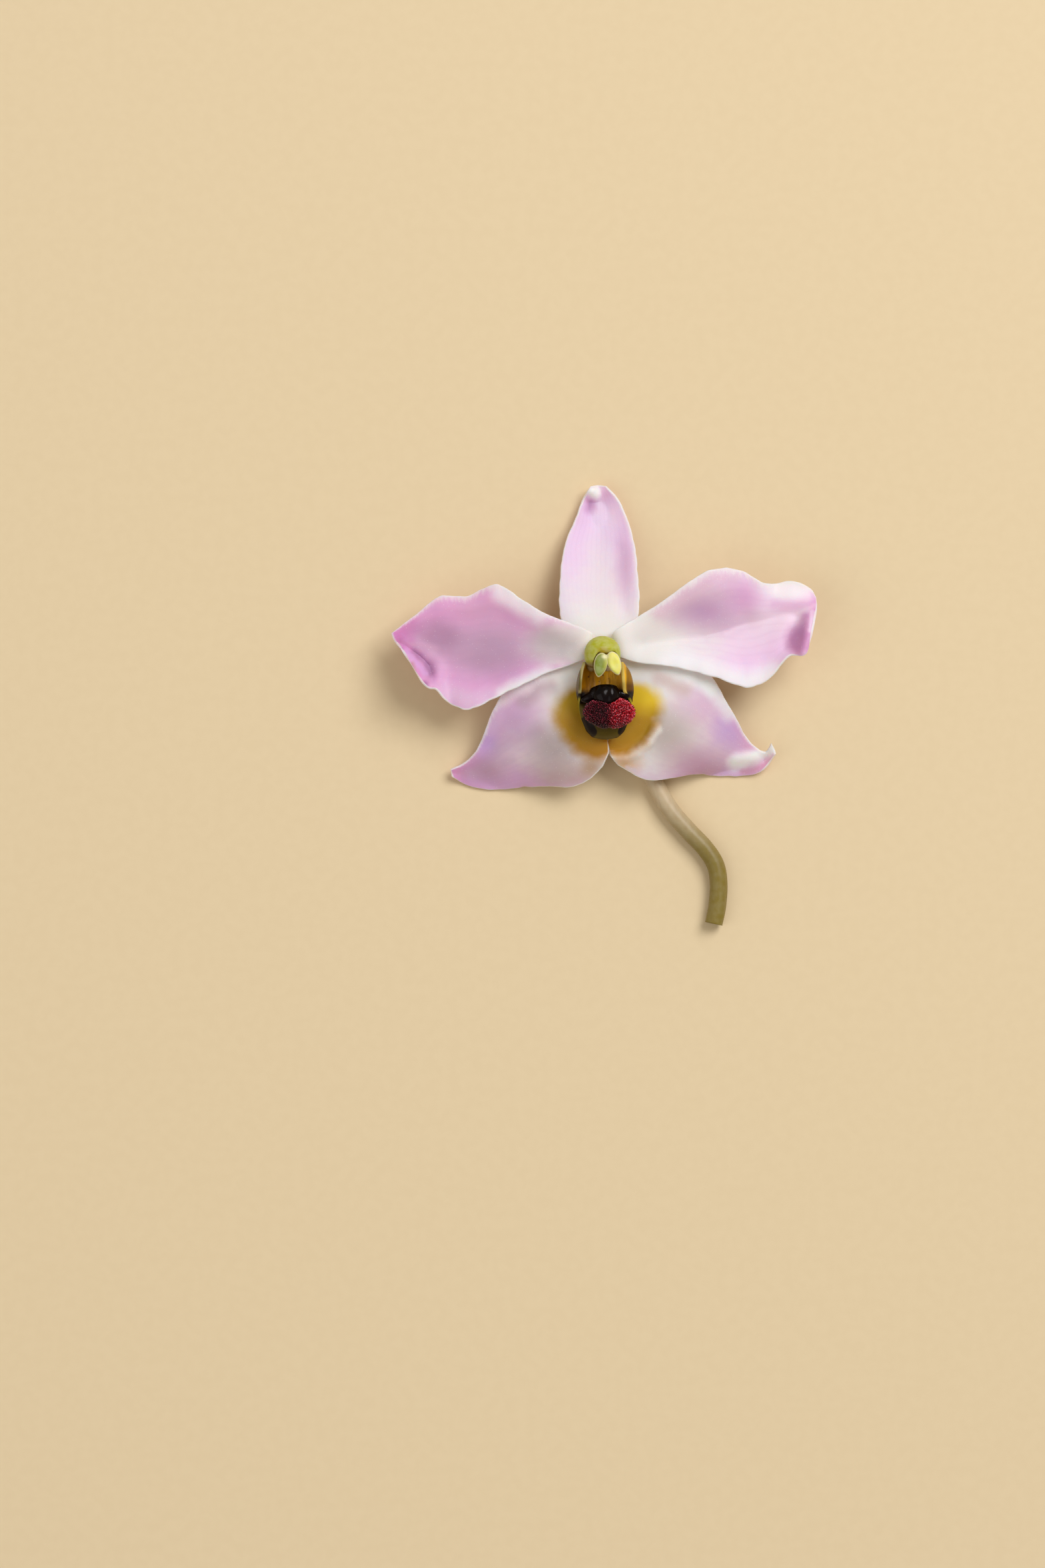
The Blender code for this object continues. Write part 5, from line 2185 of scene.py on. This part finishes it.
def left_lateral_sepal() -> Tepal:
    """The lower left sepal, with a yellow blotch."""
    return Tepal(
        "left_lateral_sepal",
        LEFT_LATERAL_SEPAL,
        TepalFinish(
            "left_lateral_sepal",
            blush="DCB2DA",
            tip="D69CCB",
            blush_from=0.34,
            blush_to=0.72,
            middle_blush=0.7,
            tip_from=0.76,
            feather=0.09,
            white="F0EAE8",
            tints=(
                Tint((-8.6, -5.6), (5.0, 4.6), "DAB0DA", 0.7),
                # Painted light at the base, where the left petal shades it.
                Tint((-2.6, -1.4), (1.8, 1.2), "FFFCF8", 0.9),
                Tint((-9.0, -6.4), (2.8, 2.4), "C8A8CC", 0.5),
                Tint((-11.6, -8.4), (2.0, 2.8), "C8ACF0", 0.5),
                # Painted shade over the middle, which slopes away from the lamp.
                Tint((-4.8, -8.6), (4.2, 3.8), "A89A9C", 0.65, 0.1),
                Tint((-3.6, -11.8), (5.6, 2.1), "B4A094", 0.6, 0.1),
                Tint((-12.0, -11.3), (3.6, 2.4), "B888A8", 0.6),
                Tint((-1.3, -11.0), (1.7, 1.5), "B08C58", 0.65),
            ),
            strokes=(
                # Painted shadow along the upper margin, under the left petal's edge.
                Stroke(((-5.3, -2.9), (-6.3, -3.2), (-7.8, -4.3)), 1.4, "B8A2AE", 0.6, 0.0),
                # Painted light on the streaky upper margin, with painted glints.
                Stroke(((-10.2, -4.6), (-8.8, -3.7), (-7.6, -3.1)), 1.0, "F4E4EA", 0.6, 0.0, 0.25),
                Stroke(((-10.4, -5.6), (-11.2, -7.2)), 1.2, "DCC0E2", 0.5, 0.0),
                # Painted shade along the diagonal crease.
                Stroke(((-10.6, -9.2), (-8.0, -8.0), (-6.4, -7.2)), 1.4, "AC90AC", 0.30, 0.0),
                # Painted highlight.
                Stroke(((-9.8, -10.5), (-9.0, -10.2)), 0.7, "CDB0CC", 0.4, 0.0),
            ),
            blotch=Blotch(
                (
                    ((-1.9, -5.6), (3.9, 3.5)),
                    ((-1.2, -6.7), (3.9, 3.6)),
                    ((-0.6, -7.4), (3.7, 3.7)),
                ),
                "C8A410", "B88C00", "B88408",
            ),
        ),
        Slot.SEPAL,
        waves=Wave(0.10, 3.0, 0.6),
        reliefs=(
            Relief(((-4.5, -4.5), (-7.0, -6.3), (-9.3, -7.8), (-11.6, -8.6)), -0.20, 0.9),
            Relief(((-1.5, -10.4), (-4.5, -10.6), (-8.0, -11.2)), -0.12, 0.9),
        ),
        nicks=(Nick((-7.7, -12.9), 0.24, 0.4),),
    )


def right_lateral_sepal() -> Tepal:
    """The lower right sepal, with a yellow blotch in a bowl and a hooked tip."""
    return Tepal(
        "right_lateral_sepal",
        RIGHT_LATERAL_SEPAL,
        TepalFinish(
            "right_lateral_sepal",
            blush="DEB8DA",
            tip="F0CCE8",
            blush_from=0.36,
            blush_to=0.74,
            middle_blush=0.75,
            feather=0.05,
            tints=(
                Tint((9.4, -4.8), (4.2, 3.2), "DCB2D6", 0.6),
                # Painted light at the base, where the right petal shades it.
                Tint((3.0, -1.2), (1.8, 1.3), "FFFBF4", 0.9),
                # Painted shade over the middle of the blade.
                Tint((6.4, -7.6), (4.8, 4.2), "B8ACA6", 0.8),
                Tint((2.2, -10.7), (2.6, 1.6), "DCAE6C", 0.75),
                Tint((9.2, -10.4), (5.0, 3.0), "BE8EAA", 0.6),
                Tint((12.4, -7.2), (2.4, 3.0), "C8AAE4", 0.5),
            ),
            strokes=(
                # Painted shadow along the upper margin, under the right petal's edge.
                Stroke(((5.4, -2.2), (6.4, -2.4), (8.0, -3.4)), 1.3, "D0BAB8", 0.65, 0.0),
                # Painted light on the upper margin, with painted glints.
                Stroke(((10.6, -2.8), (12.5, -5.6)), 1.4, "FFFEFE", 0.55, 0.0, 0.15),
                # Painted light on the upper margin, with painted glints.
                Stroke(((6.4, -0.7), (8.7, -1.6), (10.7, -2.9)), 1.5, "FFFEFE", 0.85, 0.0, 0.25),
                # Painted highlight on the hooked tip, with painted glints.
                Stroke(
                    ((13.2, -10.5), (15.2, -9.9), (16.6, -9.3), (16.8, -8.8)),
                    1.3, "FFF6FB", 1.0, 0.1, 0.18,
                ),
                Stroke(((14.0, -11.5), (16.2, -10.8), (17.25, -9.6)), 0.55, "D89AB6", 0.6, 0.0),
                # Painted highlight along the ridge round the bowl, with painted glints.
                Stroke(
                    ((2.3, -9.65), (3.4, -9.26), (4.2, -8.75), (4.9, -8.07), (5.6, -7.3)),
                    0.50, "FFFFFF", 0.55, 0.0, 0.35,
                ),
                # Painted highlight near the lower margin.
                Stroke(((2.5, -10.95), (3.2, -11.2)), 0.45, "DCD4E6", 0.5, 0.0),
            ),
            blotch=Blotch(
                (
                    ((2.6, -5.0), (4.3, 3.0)),
                    ((2.3, -6.2), (4.1, 3.2)),
                    ((1.7, -7.0), (3.8, 3.6)),
                ),
                "F2CE26", "B88C08", "C4900C",
            ),
        ),
        Slot.SEPAL,
        waves=Wave(0.10, 3.0, 0.6),
        reliefs=(
            Relief(((0.9, -9.9), (2.2, -10.0), (3.5, -9.45), (4.5, -8.4), (5.2, -7.1)), 0.42, 0.40),
            Relief(((1.5, -9.1), (3.0, -8.6), (4.2, -7.4), (5.0, -6.0)), -0.40, 1.0),
            Relief(((13.3, -10.0), (15.5, -9.9), (16.6, -9.3)), 0.30, 0.6),
            Relief(((16.3, -9.9), (17.0, -9.0)), -0.80, 0.9),
        ),
        nicks=(Nick((9.9, -11.5), 0.20, 0.35), Nick((12.6, -11.8), 0.06, 0.3)),
    )


def main() -> None:
    """Builds the studio and then the flower, piece by piece."""
    logging.basicConfig(level=logging.INFO, format="%(name)s: %(message)s")
    Studio().build()
    groups = TissueGroups()
    cap = AntherCap()
    blades = (dorsal_sepal(), left_petal(), right_petal(), left_lateral_sepal(), right_lateral_sepal())
    for piece in (*blades, Lip(), Callus(), Papillae(), Column(), cap, Stalk()):
        piece.dress(piece.build(), groups)
    pollinia = Pollinia(cap)
    for side in Side:
        pollinia.dress(pollinia.build(side), side, groups)


if __name__ == "__main__":
    main()
